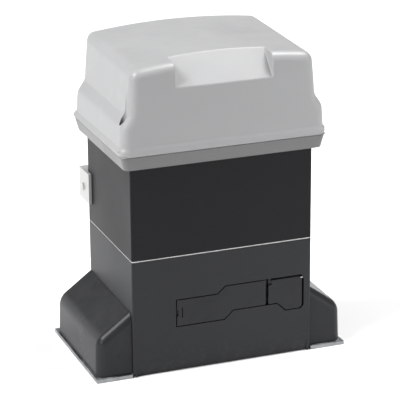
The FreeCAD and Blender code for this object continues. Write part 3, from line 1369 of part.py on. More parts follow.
def make_motor_ends():
    """Lower end plate and upper end cap with the motor's bearings."""
    lower = run(s.lower_bearing_low, s.motor_bearing_wide)
    disc = cylinder("EndDisc", s.tube_radius - s.press, "z", run(floor_top, s.plate_disc), **AT_MOTOR)
    hub = cylinder("EndHub", s.bearing_hub, "z", (floor_top, lower[1]), **AT_MOTOR)
    spigot = cylinder("EndSpigot", s.spigot, "z", (floor_top - s.spigot_deep, floor_top), **AT_MOTOR)
    seat = cylinder("EndSeat", s.motor_bearing + s.running, "z", (lower[0], lower[1] + 1), **AT_MOTOR)
    hole = cylinder("EndHole", s.neck + s.tube_wall / 2, "z", (housing_low, lower[1]), **AT_MOTOR)
    node("motor_end_plate", less("EndPlate", joined("EndSolid", disc, hub, spigot), seat, hole))
    make_bearing("lower_motor_bearing", "LowerMotorBearing", s.motor_bearing, s.journal + s.running,
                 "z", lower, **AT_MOTOR)

    upper = run(s.upper_bearing_low, s.motor_bearing_wide)
    disc = cylinder("TopDisc", s.tube_radius + s.tube_wall - 0.5, "z", run(s.tube_top, s.cap_disc),
                    **AT_MOTOR)
    hub = cylinder("TopHub", s.bearing_hub, "z", (upper[0] - 1, upper[1] + 1), **AT_MOTOR)
    seat = cylinder("TopSeat", s.motor_bearing + s.running, "z", (upper[0], upper[1] + 2), **AT_MOTOR)
    hole = cylinder("TopHole", s.rotor_seat + 1, "z", (upper[0] - 2, upper[0] + 1), **AT_MOTOR)
    node("motor_end_cap", less("TopCap", joined("TopSolid", disc, hub), seat, hole))
    make_bearing("upper_motor_bearing", "UpperMotorBearing", s.motor_bearing, s.journal + s.running,
                 "z", upper, **AT_MOTOR)
    small = run(s.small_bearing_low, s.small_bearing_wide)
    make_bearing("worm_bearing", "WormBearing", s.small_bearing, s.journal + s.running,
                 "z", small, **AT_MOTOR)


def make_motor():
    """Stator, its end windings, rotor and encoder disc."""
    stack = (s.stack_low, s.stack_high)
    node("stator_core", ring("StatorCore", s.tube_radius - s.press, s.stator_bore, "z", stack, **AT_MOTOR))
    coils = []
    for ends in ((s.stack_low - s.winding_high, s.stack_low), (s.stack_high, s.stack_high + s.winding_high)):
        coils.append(ring("Winding", s.winding_outer, s.winding_inner, "z", ends, **AT_MOTOR))
    node("stator_windings", group("Windings", coils))
    core = cylinder("RotorBar", s.stator_bore - s.air_gap, "z", stack, **AT_MOTOR)
    rings = cylinder("RotorRings", s.end_ring, "z",
                     (s.stack_low - s.end_ring_high, s.stack_high + s.end_ring_high),
                     **AT_MOTOR)
    bore = cylinder("RotorBore", s.rotor_seat + s.running, "z",
                    (s.stack_low - s.end_ring, s.stack_high + s.end_ring), **AT_MOTOR)
    node("rotor_core", less("Rotor", joined("RotorSolid", core, rings), bore))

    disc_ends = run(s.encoder_low, s.encoder_thick)
    hub_z = (disc_ends[0] - 1, s.tail_top)
    body = new_body("EncoderDisc")
    pad(body, circle(body, "z", disc_ends[0], s.encoder_radius), s.encoder_thick)
    slot = outline(body, "z", disc_ends[1], [
        (s.encoder_radius - s.slot_start, -s.encoder_thick), (s.encoder_radius - s.slot_end, -s.encoder_thick),
        (s.encoder_radius - s.slot_end, s.encoder_thick), (s.encoder_radius - s.slot_start, s.encoder_thick)])
    cut = body.newObject("PartDesign::Pocket", "EncoderSlot")
    cut.Profile = slot
    cut.Type = "Length"
    bind(cut, "Length", s.encoder_thick * 2)
    pattern(body, cut, s.encoder_slots, "Z_Axis")
    place(body, motor_x, 0.0, 0.0)
    hub = cylinder("EncoderHub", s.rotor_seat, "z", hub_z, **AT_MOTOR)
    bore = cylinder("EncoderBore", s.tail + s.running, "z", (hub_z[0] - 1, hub_z[1] + 1), **AT_MOTOR)
    node("encoder_disc", less("Encoder", joined("EncoderSolid", body, hub), bore))


def make_power_parts():
    """Start capacitor and transformer on the motor housing's floor."""
    at_can = {"x": s.capacitor_x, "y": -s.capacitor_y}
    can = cylinder("CapacitorCan", s.capacitor_radius, "z", run(floor_top, s.capacitor_high), **at_can)
    can_top = floor_top + s.capacitor_high
    pins = []
    for side in (-1, 1):
        middle = s.capacitor_x + s.pin_spread * side
        pins.append(block("CapacitorPin", pair(middle, s.pin_half), pair(-s.capacitor_y, s.pin_thick / 2),
                          (can_top - 1, can_top + s.pin_high)))
    node("start_capacitor", joined("Capacitor", can, *pins))

    x = run(s.transformer_x, s.transformer_wide)
    y = run(-s.transformer_front, s.transformer_deep)
    z = run(floor_top, s.transformer_high)
    yoke = s.transformer_yoke
    core = block("TransformerCore", x, (y[0] + yoke, y[1] - yoke), z)
    coil = block("TransformerCoil", (x[0] + s.transformer_lap, x[1] - s.transformer_lap), y,
                 (z[0] + yoke, z[1] - yoke))
    node("transformer", joined("Transformer", core, coil))


def make_limit_switch():
    """Hollow box behind the housing's rear left corner, with a flange on the left wall, and its sensor."""
    left = -s.case_half_wide - s.limit_proud
    right = -s.limit_right
    z = (s.limit_low, s.limit_high)
    body = prism("LimitShell", "z", z, [
        (left, s.limit_front), (-s.case_half_wide - s.limit_gap, s.limit_front),
        (-s.case_half_wide - s.limit_gap, back + s.limit_gap),
        (right, back + s.limit_gap), (right, s.limit_back), (left, s.limit_back)])
    rear = s.limit_back.number

    def rear_edge(edge):
        return lies_at(edge, "y", rear)
    round_edges(body, s.limit_round, rear_edge)
    wall = s.limit_wall
    room_x = (s.limit_solid - s.case_half_wide, right - wall)
    room_y = (back + s.limit_gap + wall, s.limit_back - wall)
    room = block("LimitRoom", room_x, room_y, (z[0] - 1, z[1] - wall))
    screw_z = {"y": s.limit_screw_y, "z": s.limit_screw_z}
    hole = cylinder("LimitScrewHole", s.limit_screw_radius + s.running, "x",
                    (left - 1, left + s.limit_screw_long), **screw_z)
    node("limit_switch_box", less("LimitBox", body, room, hole))
    head_x = (left - s.limit_screw_high, left)
    head = cylinder("LimitScrewHead", s.limit_screw_head, "x", head_x, **screw_z)
    shank = cylinder("LimitScrewShank", s.limit_screw_radius, "x", (left, left + s.limit_screw_long - 0.5),
                     **screw_z)
    node("limit_switch_screw", joined("LimitScrew", head, shank))
    play = s.hole_play
    node("limit_sensor", block("LimitSensor", (room_x[0] + play, room_x[1] - play),
                               (room_y[0] + play, room_y[1] - play), (z[0] + 1, z[1] - wall - play)))


def rounded_outline(body, height, half_x, half_y, radius):
    """A sketch of a rectangle about the middle with round corners."""
    sketch = new_sketch(body, "z", height)
    x, y, r = Size.of(half_x), Size.of(half_y), Size.of(radius)
    sides = [
        ((r - x, -y), (x - r, -y)), ((x, r - y), (x, y - r)),
        ((x - r, y), (r - x, y)), ((-x, y - r), (-x, r - y))]
    middles = [(x - r, r - y), (x - r, y - r), (r - x, y - r), (r - x, r - y)]
    for start, end in sides:
        sketch.addGeometry(Part.LineSegment(Vector(start[0].number, start[1].number, 0),
                                            Vector(end[0].number, end[1].number, 0)))
    for turn, (across, up) in enumerate(middles):
        whole = Part.Circle(Vector(across.number, up.number, 0), Vector(0, 0, 1), r.number)
        quarter = math.pi / 2
        sketch.addGeometry(Part.ArcOfCircle(whole, quarter * (turn - 1), quarter * turn))
    for turn in range(4):
        sketch.addConstraint(Sketcher.Constraint("Coincident", turn, 2, turn + 4, 1))
        sketch.addConstraint(Sketcher.Constraint("Coincident", turn + 4, 2, (turn + 1) % 4, 1))
    for index, side in enumerate(sides):
        for end, corner in enumerate(side):
            for kind, value in zip(("DistanceX", "DistanceY"), corner):
                datum = sketch.addConstraint(Sketcher.Constraint(kind, -1, 1, index, end + 1, value.number))
                sketch.setExpression(f"Constraints[{datum}]", value.text)
        datum = sketch.addConstraint(Sketcher.Constraint("Radius", index + 4, r.number))
        sketch.setExpression(f"Constraints[{datum}]", r.text)
    return sketch


def stacked(name, sections):
    """A body through round-cornered sections: height, half width, half depth and corner radius."""
    body = new_body(name)
    sketches = [rounded_outline(body, *section) for section in sections]
    feature = body.newObject("PartDesign::AdditiveLoft", name + "Loft")
    feature.Profile = sketches[0]
    feature.Sections = sketches[1:]
    feature.Ruled = True
    return body


def tray_form(name, inset, low, high):
    """The tray's outer form, or the same form drawn in by its wall."""
    round_by = s.hood_round - inset
    return stacked(name, [
        (low, s.tray_low_x - inset, s.tray_low_y - inset, round_by),
        (high, s.tray_high_x - inset, s.tray_high_y - inset, round_by)])


def make_tray():
    """Shallow tray on the motor housing that carries the board and the hood."""
    wall = s.tray_wall
    outer = tray_form("TrayOuter", Size.of(0), s.housing_top, s.tray_top)
    inner = tray_form("TrayInner", wall, tray_floor_top, s.tray_top + 1)
    dish = less("TrayDish", outer, inner)
    above = s.tray_top + 1
    below = s.housing_top - 1
    posts = []
    tools = [cylinder("TrayCableHole", s.grommet_radius, "z", (below, above), x=-s.grommet_x, y=0.0)]
    for x, y in front_pair(s.hood_screw_x, s.hood_screw_y):
        posts.append(cylinder("TrayPost", s.screw_tower, "z", (s.housing_top, s.tray_top - s.tower_play),
                              x=x, y=y))
        tools.append(cylinder("TrayPostHole", s.hood_screw + s.running, "z", (s.hood_screw_low - 1, above),
                              x=x, y=y))
    for x, y in four(s.tray_screw_x, s.tray_screw_y):
        tools.append(cylinder("TrayScrewHole", s.tray_screw + s.hole_play, "z", (below, above), x=x, y=y))
    trimmed = common("TrayPostsTrimmed", joined("TrayPosts", *posts), outer)
    node("tray", less("Tray", joined("TraySolid", dish, trimmed), *tools))

    screws = []
    for x, y in four(s.tray_screw_x, s.tray_screw_y):
        head = cylinder("TrayScrewHead", s.tray_screw_head, "z", run(tray_floor_top, s.tray_screw_high),
                        x=x, y=y)
        shank = cylinder("TrayScrewShank", s.tray_screw, "z",
                         (s.housing_top - s.tray_screw_long, tray_floor_top),
                         x=x, y=y)
        screws.append(joined("TrayScrew", head, shank))
    node("tray_screws", group("TrayScrews", screws))

    centre = {"x": -s.grommet_x, "y": 0.0}
    neck = cylinder("GrommetNeck", s.grommet_radius, "z", (s.housing_top - 1, tray_floor_top), **centre)
    flange = cylinder("GrommetFlange", s.grommet_flange, "z", run(tray_floor_top, s.grommet_high), **centre)
    bore = cylinder("GrommetHole", s.grommet_bore, "z", (below, above), **centre)
    node("cable_grommet", less("Grommet", joined("GrommetSolid", neck, flange), bore))

    set_in = s.seal_set
    seal = (s.tray_top, seal_top)
    frame = rounded_block("SealOuter", s.tray_high_x - set_in, s.tray_high_y - set_in, seal, s.hood_round)
    band = s.seal_set + s.seal_band
    window = rounded_block("SealWindow", s.tray_high_x - band, s.tray_high_y - band,
                           (s.tray_top - 1, seal_top + 1),
                           s.hood_round - wall)
    node("hood_gasket", less("Seal", frame, window))


def hood_solid(name, inset):
    """The hood's outer form, or the same form drawn in by its wall."""
    inset = Size.of(inset)
    low = seal_top if inset.number == 0 else seal_top - 1
    bead_top = seal_top + s.bead_high
    lean = (s.hood_low_y - s.hood_high_y) / (s.crown - bead_top)
    sections = []
    for height, half_x in ((low, s.hood_low_x), (bead_top, s.hood_low_x), (s.shoulder_low, s.hood_shoulder_x),
                           (s.shoulder_high, s.dome_low_x), (s.crown + 1, s.dome_high_x)):
        rise = height - bead_top if height.number > bead_top.number else Size.of(0)
        half_y = s.hood_low_y - rise * lean
        sections.append((height, half_x - inset, half_y - inset, s.hood_round - inset))
    body = stacked(name + "Walls", sections)
    sag = s.crown - s.dome_edge
    radius = (s.dome_high_x * s.dome_high_x + sag * sag) / (sag * 2)
    arch = cylinder(name + "Arch", radius - inset, "y", pair(0, s.bead_y), z=s.crown - radius)
    return common(name + "Form", body, arch)


def rounded_form(name, form, radius, pick):
    """Rounds chosen edges of a boolean result."""
    DOC.recompute()
    feature = DOC.addObject("Part::Fillet", name)
    feature.Base = form
    feature.Edges = [(index + 1, radius.number, radius.number)
                     for index, edge in enumerate(form.Shape.Edges) if pick(edge)]
    return feature


def badge_cut(name, inset):
    """Wedge that opens the badge notch in the hood's front top edge."""
    front_y = -s.badge_low_y + inset
    half = s.badge_half + inset
    floor_front = s.badge_low - inset
    over = s.hood_wall + 1
    far = -s.bead_y - over
    slope = (s.crown - s.badge_low) / (s.badge_low_y - s.badge_high_y)
    reach = -far - s.badge_low_y
    return prism(name, "x", pair(0, half), [
        (far, floor_front - slope * reach), (front_y, floor_front),
        (-s.badge_high_y + inset, s.crown - inset),
        (over - s.badge_high_y + inset, s.crown + slope * over - inset),
        (far, s.crown + slope * over - inset)])


def make_hood():
    """Moulded hood: bead at its rim, sloped shoulders, arched crown, bare badge notch, screw towers."""
    top = s.dome_edge.number - 1
    rear = s.hood_high_y.number - 1

    def crown_edge(edge):
        points = corners_of(edge)
        high = all(point.z > top for point in points)
        return high and not all(point.y > rear for point in points)
    outer = hood_solid("HoodOuter", 0)
    domed = rounded_form("HoodOuterRound", outer, s.crown_round, crown_edge)
    inner = hood_solid("HoodInner", s.hood_wall)
    bead_ends = run(seal_top, s.bead_high)
    bead = rounded_block("HoodBead", s.bead_x, s.bead_y, bead_ends, s.bead_round)

    def bead_edge(edge):
        return lies_at(edge, "z", bead_ends[0].number) or lies_at(edge, "z", bead_ends[1].number)
    round_edges(bead, s.bead_x - s.hood_low_x, bead_edge)
    bead_room = rounded_block("HoodBeadRoom", s.hood_low_x - s.hood_wall, s.hood_low_y - s.hood_wall,
                              (seal_top - 1, bead_ends[1] + 1), s.hood_round - s.hood_wall)
    hollow = less("HoodHollow", inner, badge_cut("HoodBadgeInner", s.hood_wall))
    shell = less("HoodShell", joined("HoodOuterBead", domed, bead), joined("HoodRooms", hollow, bead_room),
                 badge_cut("HoodBadge", Size.of(0)))
    towers = []
    tools = []
    for x, y in front_pair(s.hood_screw_x, s.hood_screw_y):
        towers.append(cylinder("HoodTower", s.screw_tower, "z", (seal_top, s.shoulder_high), x=x, y=y))
        tools.append(cylinder("HoodPocket", s.screw_pocket, "z", (s.screw_seat, s.crown), x=x, y=y))
        tools.append(cylinder("HoodScrewHole", s.hood_screw + s.running, "z",
                              (seal_top - 1, s.screw_seat + 1),
                              x=x, y=y))
    trimmed = common("HoodTowersTrimmed", joined("HoodTowers", *towers), outer)
    node("hood", less("Hood", joined("HoodSolid", shell, trimmed), *tools))

    screws = []
    for x, y in front_pair(s.hood_screw_x, s.hood_screw_y):
        head_ends = run(s.screw_seat, s.hood_screw_high)
        head = cylinder("HoodScrewHead", s.hood_screw_head, "z", head_ends, x=x, y=y)
        shank = cylinder("HoodScrewShank", s.hood_screw, "z", (s.hood_screw_low, s.screw_seat), x=x, y=y)
        socket = hexagon("HoodScrewSocket", s.hood_screw_head / 2, (head_ends[1] - 2, head_ends[1] + 1), x, y)
        screws.append(less("HoodScrew", joined("HoodScrewSolid", head, shank), socket))
    node("hood_screws", group("HoodScrews", screws))


def make_board():
    """Control board on pillars with terminals, relays, processor and three push buttons."""
    board = block("Board", pair(0, s.board_half_wide), pair(0, s.board_half_deep), (s.board_low, board_top))
    node("control_board", board)
    pillars = [cylinder("Pillar", s.pillar_radius, "z", (tray_floor_top, s.board_low), x=x, y=y)
               for x, y in four(s.pillar_x, s.pillar_y)]
    node("board_pillars", group("Pillars", pillars))

    z = run(board_top, s.terminal_high)
    half_row = s.terminal_pitch * s.terminal_count / 2
    row = block("TerminalRow", pair(0, half_row), pair(-s.terminal_y, s.terminal_deep / 2), z)
    tools = []
    for index in range(int(s.terminal_count.number)):
        x = s.terminal_pitch * (index + 0.5) - half_row
        hole_levels = (z[1] - s.terminal_screw_deep, z[1] + 1)
        tools.append(cylinder("TerminalScrewHole", s.terminal_pitch * 0.3, "z", hole_levels, x=x,
                              y=-s.terminal_y))
        tools.append(block("TerminalMouth", pair(x, s.terminal_pitch * 0.3),
                           (-s.terminal_y - s.terminal_deep / 2 - 1, -s.terminal_y - s.terminal_deep / 4),
                           run(z[0] + s.terminal_sill, s.terminal_mouth)))
    node("terminal_blocks", less("Terminals", row, *tools))

    relays = []
    relay_start = -s.relay_pitch * (s.relay_count - 1) / 2
    for index in range(int(s.relay_count.number)):
        x = relay_start + s.relay_pitch * index
        relays.append(block("Relay", pair(x, s.relay_wide / 2), pair(s.relay_y, s.relay_deep / 2),
                            run(board_top, s.relay_high)))
    node("relays", group("Relays", relays))
    node("processor", block("Processor", pair(-s.chip_long, s.chip_long / 2), pair(0, s.chip_deep / 2),
                            run(board_top, s.chip_high)))

    bases = []
    base_top = board_top + s.button_base_high
    for index in range(3):
        place_of = {"x": s.button_x + s.button_pitch * index, "y": -s.button_y}
        base = block("ButtonBase", pair(place_of["x"], s.button_base / 2),
                     pair(place_of["y"], s.button_base / 2),
                     (board_top, base_top))
        well = cylinder("ButtonWell", s.button_radius + s.button_play, "z", (board_top + 1, base_top + 1),
                        **place_of)
        bases.append(less("ButtonCup", base, well))
        plunger = (board_top + 1 + s.button_travel + s.button_play, base_top + s.button_high)
        node(f"button_{index + 1}", cylinder("Button", s.button_radius, "z", plunger, **place_of))
    node("button_bases", group("ButtonBases", bases))


def check_and_export():
    """Stops at any failed object or bad shape, then writes one STEP file per sub-part."""
    DOC.recompute()
    failed = [thing.Name for thing in DOC.Objects if "Invalid" in thing.State or "Error" in thing.State]
    if failed:
        raise RuntimeError("failed objects: " + ", ".join(failed))
    for thing in NODES:
        shape = thing.Shape
        if shape.isNull() or not shape.isValid() or not shape.Solids:
            raise RuntimeError("bad shape: " + thing.Label)
    os.makedirs("parts", exist_ok=True)
    for thing in NODES:
        thing.Shape.exportStep(f"parts/{thing.Label}.step")
        print(thing.Label, len(thing.Shape.Solids), round(thing.Shape.Volume, 1))


make_foundation_plate()
make_gear_case()
make_side_cover(-1, "left")
make_side_cover(1, "right")
make_fixings()
make_release_lever()
make_lock()
make_output_bearings()
make_output_shaft()
make_release_rod()
make_worm_shaft()
make_worm_wheel()
make_clutch()
make_pinion()
make_motor_housing()
make_motor_ends()
make_motor()
make_power_parts()
make_limit_switch()
make_tray()
make_hood()
make_board()
check_and_export()
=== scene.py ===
"""Looks of a sliding gate motor: its hood and foot covers, the finish of every piece, and the stage."""

import json
from math import radians, sqrt, tau

import bmesh
import bpy
from mathutils import Matrix, Vector

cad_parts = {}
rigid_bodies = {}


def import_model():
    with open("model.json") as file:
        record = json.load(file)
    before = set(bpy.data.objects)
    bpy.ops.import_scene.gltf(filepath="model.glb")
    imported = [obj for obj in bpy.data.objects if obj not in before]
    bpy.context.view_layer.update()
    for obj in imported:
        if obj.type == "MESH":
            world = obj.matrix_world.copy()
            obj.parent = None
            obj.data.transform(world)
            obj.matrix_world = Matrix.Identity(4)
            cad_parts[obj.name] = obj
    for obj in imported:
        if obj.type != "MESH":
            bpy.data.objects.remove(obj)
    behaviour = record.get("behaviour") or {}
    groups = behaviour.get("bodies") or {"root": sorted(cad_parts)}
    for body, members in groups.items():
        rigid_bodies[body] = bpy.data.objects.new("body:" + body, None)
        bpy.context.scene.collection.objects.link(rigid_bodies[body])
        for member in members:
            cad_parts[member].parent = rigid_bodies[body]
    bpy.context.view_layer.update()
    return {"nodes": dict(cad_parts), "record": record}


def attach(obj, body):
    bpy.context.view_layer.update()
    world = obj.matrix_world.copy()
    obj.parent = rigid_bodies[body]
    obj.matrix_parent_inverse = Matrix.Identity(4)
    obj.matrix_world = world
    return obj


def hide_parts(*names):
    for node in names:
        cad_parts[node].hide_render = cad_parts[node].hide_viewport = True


bl_info = {
    "name": "Sliding Gate Motor",
    "version": (1, 0, 0),
    "blender": (4, 5, 0),
    "location": "View3D > Sidebar > Gate Motor",
    "description": "Builds the visible pieces and finishes of a sliding gate motor around its packed model",
    "category": "Object",
}

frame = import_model()
MM = 0.001
TOUCH = 0.02 * MM
FINISH = "finish_"


# Sizes and colours that a user would change

def length(name, default, description):
    """A length property, given in millimetres."""
    return bpy.props.FloatProperty(name=name, description=description, default=default * MM, min=0.0,
                                   unit="LENGTH", precision=5)


def share(name, default, description):
    """A property from 0 to 1."""
    return bpy.props.FloatProperty(name=name, description=description, default=default, min=0.0, max=1.0,
                                   subtype="FACTOR")


def colour(name, default, description):
    """A colour property in linear red, green and blue."""
    return bpy.props.FloatVectorProperty(name=name, description=description, default=default,
                                         min=0.0, max=1.0, size=3, subtype="COLOR")


def power(name, default, description, unit="POWER"):
    """The strength of a light, in watts unless another unit is given."""
    return bpy.props.FloatProperty(name=name, description=description, default=default, min=0.0, unit=unit)


class HoodSettings(bpy.types.PropertyGroup):
    """Sizes of the moulded hood."""

    crown_edge: length("Edges", 9.5, "Radius of the upright corners and of the crown's front and side edges")
    crown_radius: length("Crown radius", 701.9, "Radius of the arch that the crown makes from side to side")
    crown_fall: length("Crown fall", 3.0, "How much lower the crown is at the front than at the rear")
    wall: length("Wall", 3.0, "Thickness of the moulding")
    notch_half: length("Notch half width", 51.8, "Half the width of the bare notch in the crown's front")
    notch_edge: length("Notch edges", 1.2, "Radius along the notch's edges")
    pocket: length("Screw pocket", 4.5, "Radius of the pockets over the two screws")


class CoverSettings(bpy.types.PropertyGroup):
    """Sizes of the foot covers."""

    edge: length("Edges", 9.5, "Radius of the foot covers' outer edges")
    wall: length("Wall", 2.6, "Thickness of the moulding")


class FinishSettings(bpy.types.PropertyGroup):
    """Colours and grain of the outer finishes."""

    # The tray takes a darker share of this grey as painted shade under the bead
    hood_colour: colour("Hood", (0.285, 0.287, 0.29), "Light grey of the hood and tray")
    case_colour: colour("Case", (0.0175, 0.0185, 0.020), "Charcoal of the gear case")
    housing_colour: colour("Housing", (0.0085, 0.009, 0.010), "Charcoal of the motor housing")
    cover_colour: colour("Covers", (0.021, 0.022, 0.0235), "Charcoal of the foot covers and release panel")
    box_colour: colour("Limit switch box", (0.38, 0.38, 0.376), "White of the limit switch box")
    plate_colour: colour("Foundation plate", (0.26, 0.27, 0.28), "Zinc grey of the foundation plate")
    grain: share("Grain", 0.35, "How strongly the moulded grain shows")


class StageSettings(bpy.types.PropertyGroup):
    """Floor, lights and camera."""

    floor_colour: colour("Floor", (0.86, 0.86, 0.86), "Pale floor")
    world: share("Surroundings", 0.08, "Brightness of the surroundings")
    key_power: power("Key light", 4.0, "Soft light from the upper left", "NONE")
    fill_power: power("Fill light", 3.4, "Soft light from the right front")
    rim_power: power("Rim light", 10.0, "Light from the left, behind the motor")
    top_power: power("Top light", 44.0, "Soft light from above")
    glint_power: power("Glint light", 13.0, "Small light that marks the near corners")
    lens: bpy.props.FloatProperty(name="Lens", description="Focal length of the camera", default=187.30,
                                  min=1.0, unit="CAMERA")


# Work on a mesh in edit mode

# An edge runs along an axis where that part of its direction is larger than this
ALONG = 0.9


def deselect():
    """Leaves edit mode with nothing selected."""
    if bpy.context.object is not None and bpy.context.object.mode != "OBJECT":
        bpy.ops.object.mode_set(mode="OBJECT")
    for item in bpy.context.view_layer.objects:
        item.select_set(False)


def take(piece):
    """Makes a piece active and the only one that is selected."""
    deselect()
    bpy.context.view_layer.objects.active = piece
    piece.select_set(True)


def open_primitive(name):
    """Names the primitive that was just added and enters edit mode, where it is selected all over."""
    piece = bpy.context.object
    piece.name = piece.data.name = name
    bpy.ops.object.mode_set(mode="EDIT")
    return piece


def start_block(name, low, high):
    """A block between two corners in mm, in edit mode with nothing selected, to be shaped further."""
    deselect()
    bpy.ops.mesh.primitive_cube_add(size=1)
    piece = open_primitive(name)
    bpy.ops.transform.resize(value=[(b - a) * MM for a, b in zip(low, high)])
    bpy.ops.transform.translate(value=[(a + b) / 2 * MM for a, b in zip(low, high)])
    bpy.ops.mesh.select_all(action="DESELECT")
    return piece


def upright_bar(name, radius, place, span, sides):
    """A round bar in mm at a place, with its ends at two heights."""
    low, high = span
    deselect()
    bpy.ops.mesh.primitive_cylinder_add(radius=radius * MM, depth=(high - low) * MM, vertices=sides)
    piece = open_primitive(name)
    bpy.ops.transform.translate(value=(place[0] * MM, place[1] * MM, (low + high) / 2 * MM))
    bpy.ops.object.mode_set(mode="OBJECT")
    return piece


def pick(piece, kind, test):
    """Selects only the edges or corners that pass the test, in edit mode."""
    bpy.ops.mesh.select_mode(type=kind)
    bpy.ops.mesh.select_all(action="DESELECT")
    mesh = bmesh.from_edit_mesh(piece.data)
    for item in mesh.edges if kind == "EDGE" else mesh.verts:
        if test(item):
            item.select_set(True)
    bmesh.update_edit_mesh(piece.data)


def middle(edge):
    """The middle of an edge."""
    return (edge.verts[0].co + edge.verts[1].co) / 2


def run_of(edge):
    """The direction of an edge, without its sign."""
    way = (edge.verts[1].co - edge.verts[0].co).normalized()
    return Vector((abs(way.x), abs(way.y), abs(way.z)))


def round_edges(piece, test, radius, steps):
    """Bevels the edges that pass the test."""
    pick(piece, "EDGE", test)
    bpy.ops.mesh.bevel(offset=radius, offset_type="OFFSET", segments=steps, affect="EDGES",
                       clamp_overlap=False, loop_slide=False)


def cut_across(piece, axis, place):
    """Divides every face at one plane across an axis."""
    bpy.ops.mesh.select_mode(type="VERT")
    bpy.ops.mesh.select_all(action="SELECT")
    normal = [float(i == axis) for i in range(3)]
    bpy.ops.mesh.bisect(plane_co=[place * n for n in normal], plane_no=normal)
    bpy.ops.mesh.select_all(action="DESELECT")


def resize_level(piece, level, factors):
    """Draws the corners at one height in or out."""
    pick(piece, "VERT", lambda v: abs(v.co.z - level) < TOUCH)
    bpy.ops.transform.resize(value=(*factors, 1), center_override=(0, 0, level))


def combine(piece, tool, operation):
    """Adds a form to a piece, takes it away or keeps what they share, and removes the form."""
    take(piece)
    step = piece.modifiers.new(operation, "BOOLEAN")
    step.operation = operation
    step.object = tool
    step.solver = "EXACT"
    bpy.ops.object.modifier_apply(modifier=step.name)
    bpy.data.objects.remove(tool)


def finish_piece(piece, body, slot, nodes, angle):
    """Closes a piece's mesh, shades it, gives it its slot's finish and hangs it on its body."""
    take(piece)
    bpy.ops.object.mode_set(mode="EDIT")
    bpy.ops.mesh.select_all(action="SELECT")
    bpy.ops.mesh.remove_doubles(threshold=TOUCH / 4)
    bpy.ops.mesh.normals_make_consistent(inside=False)
    bpy.ops.object.mode_set(mode="OBJECT")
    bpy.ops.object.shade_smooth_by_angle(angle=radians(angle))
    step = piece.modifiers.new("even shading", "WEIGHTED_NORMAL")
    step.keep_sharp = True
    bpy.ops.object.modifier_apply(modifier=step.name)
    piece.data.materials.clear()
    piece.data.materials.append(bpy.data.materials[FINISH + slot])
    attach(piece, body)
    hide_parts(*nodes)


# Shaders

class Signal:
    """A socket's value. Sums, differences and products of signals add Math nodes."""

    def __init__(self, shader, socket):
        self.shader = shader
        self.socket = socket

    def math(self, operation, *others):
        """The signal put through a Math node with other values."""
        values = {index + 1: other for index, other in enumerate(others)}
        return self.shader.add("ShaderNodeMath", {"operation": operation}, {0: self, **values})

    def __add__(self, other):
        return self.math("ADD", other)

    def __sub__(self, other):
        return self.math("SUBTRACT", other)

    def __rsub__(self, other):
        return self.shader.add("ShaderNodeMath", {"operation": "SUBTRACT"}, {0: other, 1: self})

    def __mul__(self, other):
        return self.math("MULTIPLY", other)

    __radd__ = __add__
    __rmul__ = __mul__

    def span(self, low, high, first=0.0, last=1.0):
        """The signal from low to high, spread from first to last and held there."""
        return self.shader.add("ShaderNodeMapRange", {}, {0: self, 1: low, 2: high, 3: first, 4: last})


class Shader:
    """A material whose Principled shader is fed by nodes."""

    def __init__(self, name, **constants):
        self.material = bpy.data.materials.new(FINISH + name)
        self.material.use_nodes = True
        self.tree = self.material.node_tree
        self.surface = self.tree.nodes["Principled BSDF"]
        for socket, value in constants.items():
            self.surface.inputs[socket.replace("_", " ")].default_value = value
        self.place = self.add("ShaderNodeTexCoord", output="Object")
        self.facing = Signal(self, self.place.socket.node.outputs["Normal"])

    def add(self, kind, settings=None, inputs=None, output=0):
        """One node: its settings come first, then the values or links of its sockets."""
        node = self.tree.nodes.new(kind)
        for name, value in (settings or {}).items():
            setattr(node, name, value)
        for name, value in (inputs or {}).items():
            if isinstance(value, Signal):
                self.tree.links.new(value.socket, node.inputs[name])
            else:
                node.inputs[name].default_value = value
        return Signal(self, node.outputs[output])

    def feed(self, **signals):
        """Links signals to the Principled shader."""
        for name, signal in signals.items():
            self.tree.links.new(signal.socket, self.surface.inputs[name.replace("_", " ")])
        return self.material

    def stretched(self, x, y, z):
        """Object coordinates multiplied along each axis."""
        return self.add("ShaderNodeMapping", {}, {"Vector": self.place, "Scale": (x, y, z)})

    def noise(self, scale, detail, place=None, distortion=0.0):
        """Noise with so many features a metre."""
        return self.add("ShaderNodeTexNoise", {}, {"Vector": place or self.place, "Scale": scale,
                                                   "Detail": detail, "Distortion": distortion})

    def noise_colour(self, scale):
        """Noise as a colour, for shifting other patterns."""
        return self.add("ShaderNodeTexNoise", {}, {"Vector": self.place, "Scale": scale}, "Color")

    def cells(self, scale, output="Distance", feature="F1", place=None, randomness=1.0):
        """Voronoi cells with so many a metre."""
        return self.add("ShaderNodeTexVoronoi", {"feature": feature},
                        {"Vector": place or self.place, "Scale": scale, "Randomness": randomness}, output)

    def axis(self, name, source=None):
        """One component of the place or of another vector."""
        return self.add("ShaderNodeSeparateXYZ", {}, {0: source or self.place}, name)

    def mix(self, factor, first, second):
        """A colour between two others."""
        return self.add("ShaderNodeMix", {"data_type": "RGBA"}, {0: factor, 6: first, 7: second}, 2)

    def bump(self, height, depth):
        """A normal from a height from 0 to 1, with its depth in mm."""
        return self.add("ShaderNodeBump", {}, {"Strength": 1.0, "Distance": depth * MM, "Height": height})


def shade(rgb, factor):
    """A colour made lighter or darker, with its alpha."""
    return (*(min(1.0, c * factor) for c in rgb), 1.0)


# Materials

DUST = (0.62, 0.60, 0.57, 1.0)
FOOT_MARKS = (0.20, 0.19, 0.175, 1.0)
# The marks fade out between these heights, in metres
FOOT_MARKS_SPAN = (0.004, 0.03)
ZINC_BLOOM = (0.46, 0.47, 0.47, 1.0)
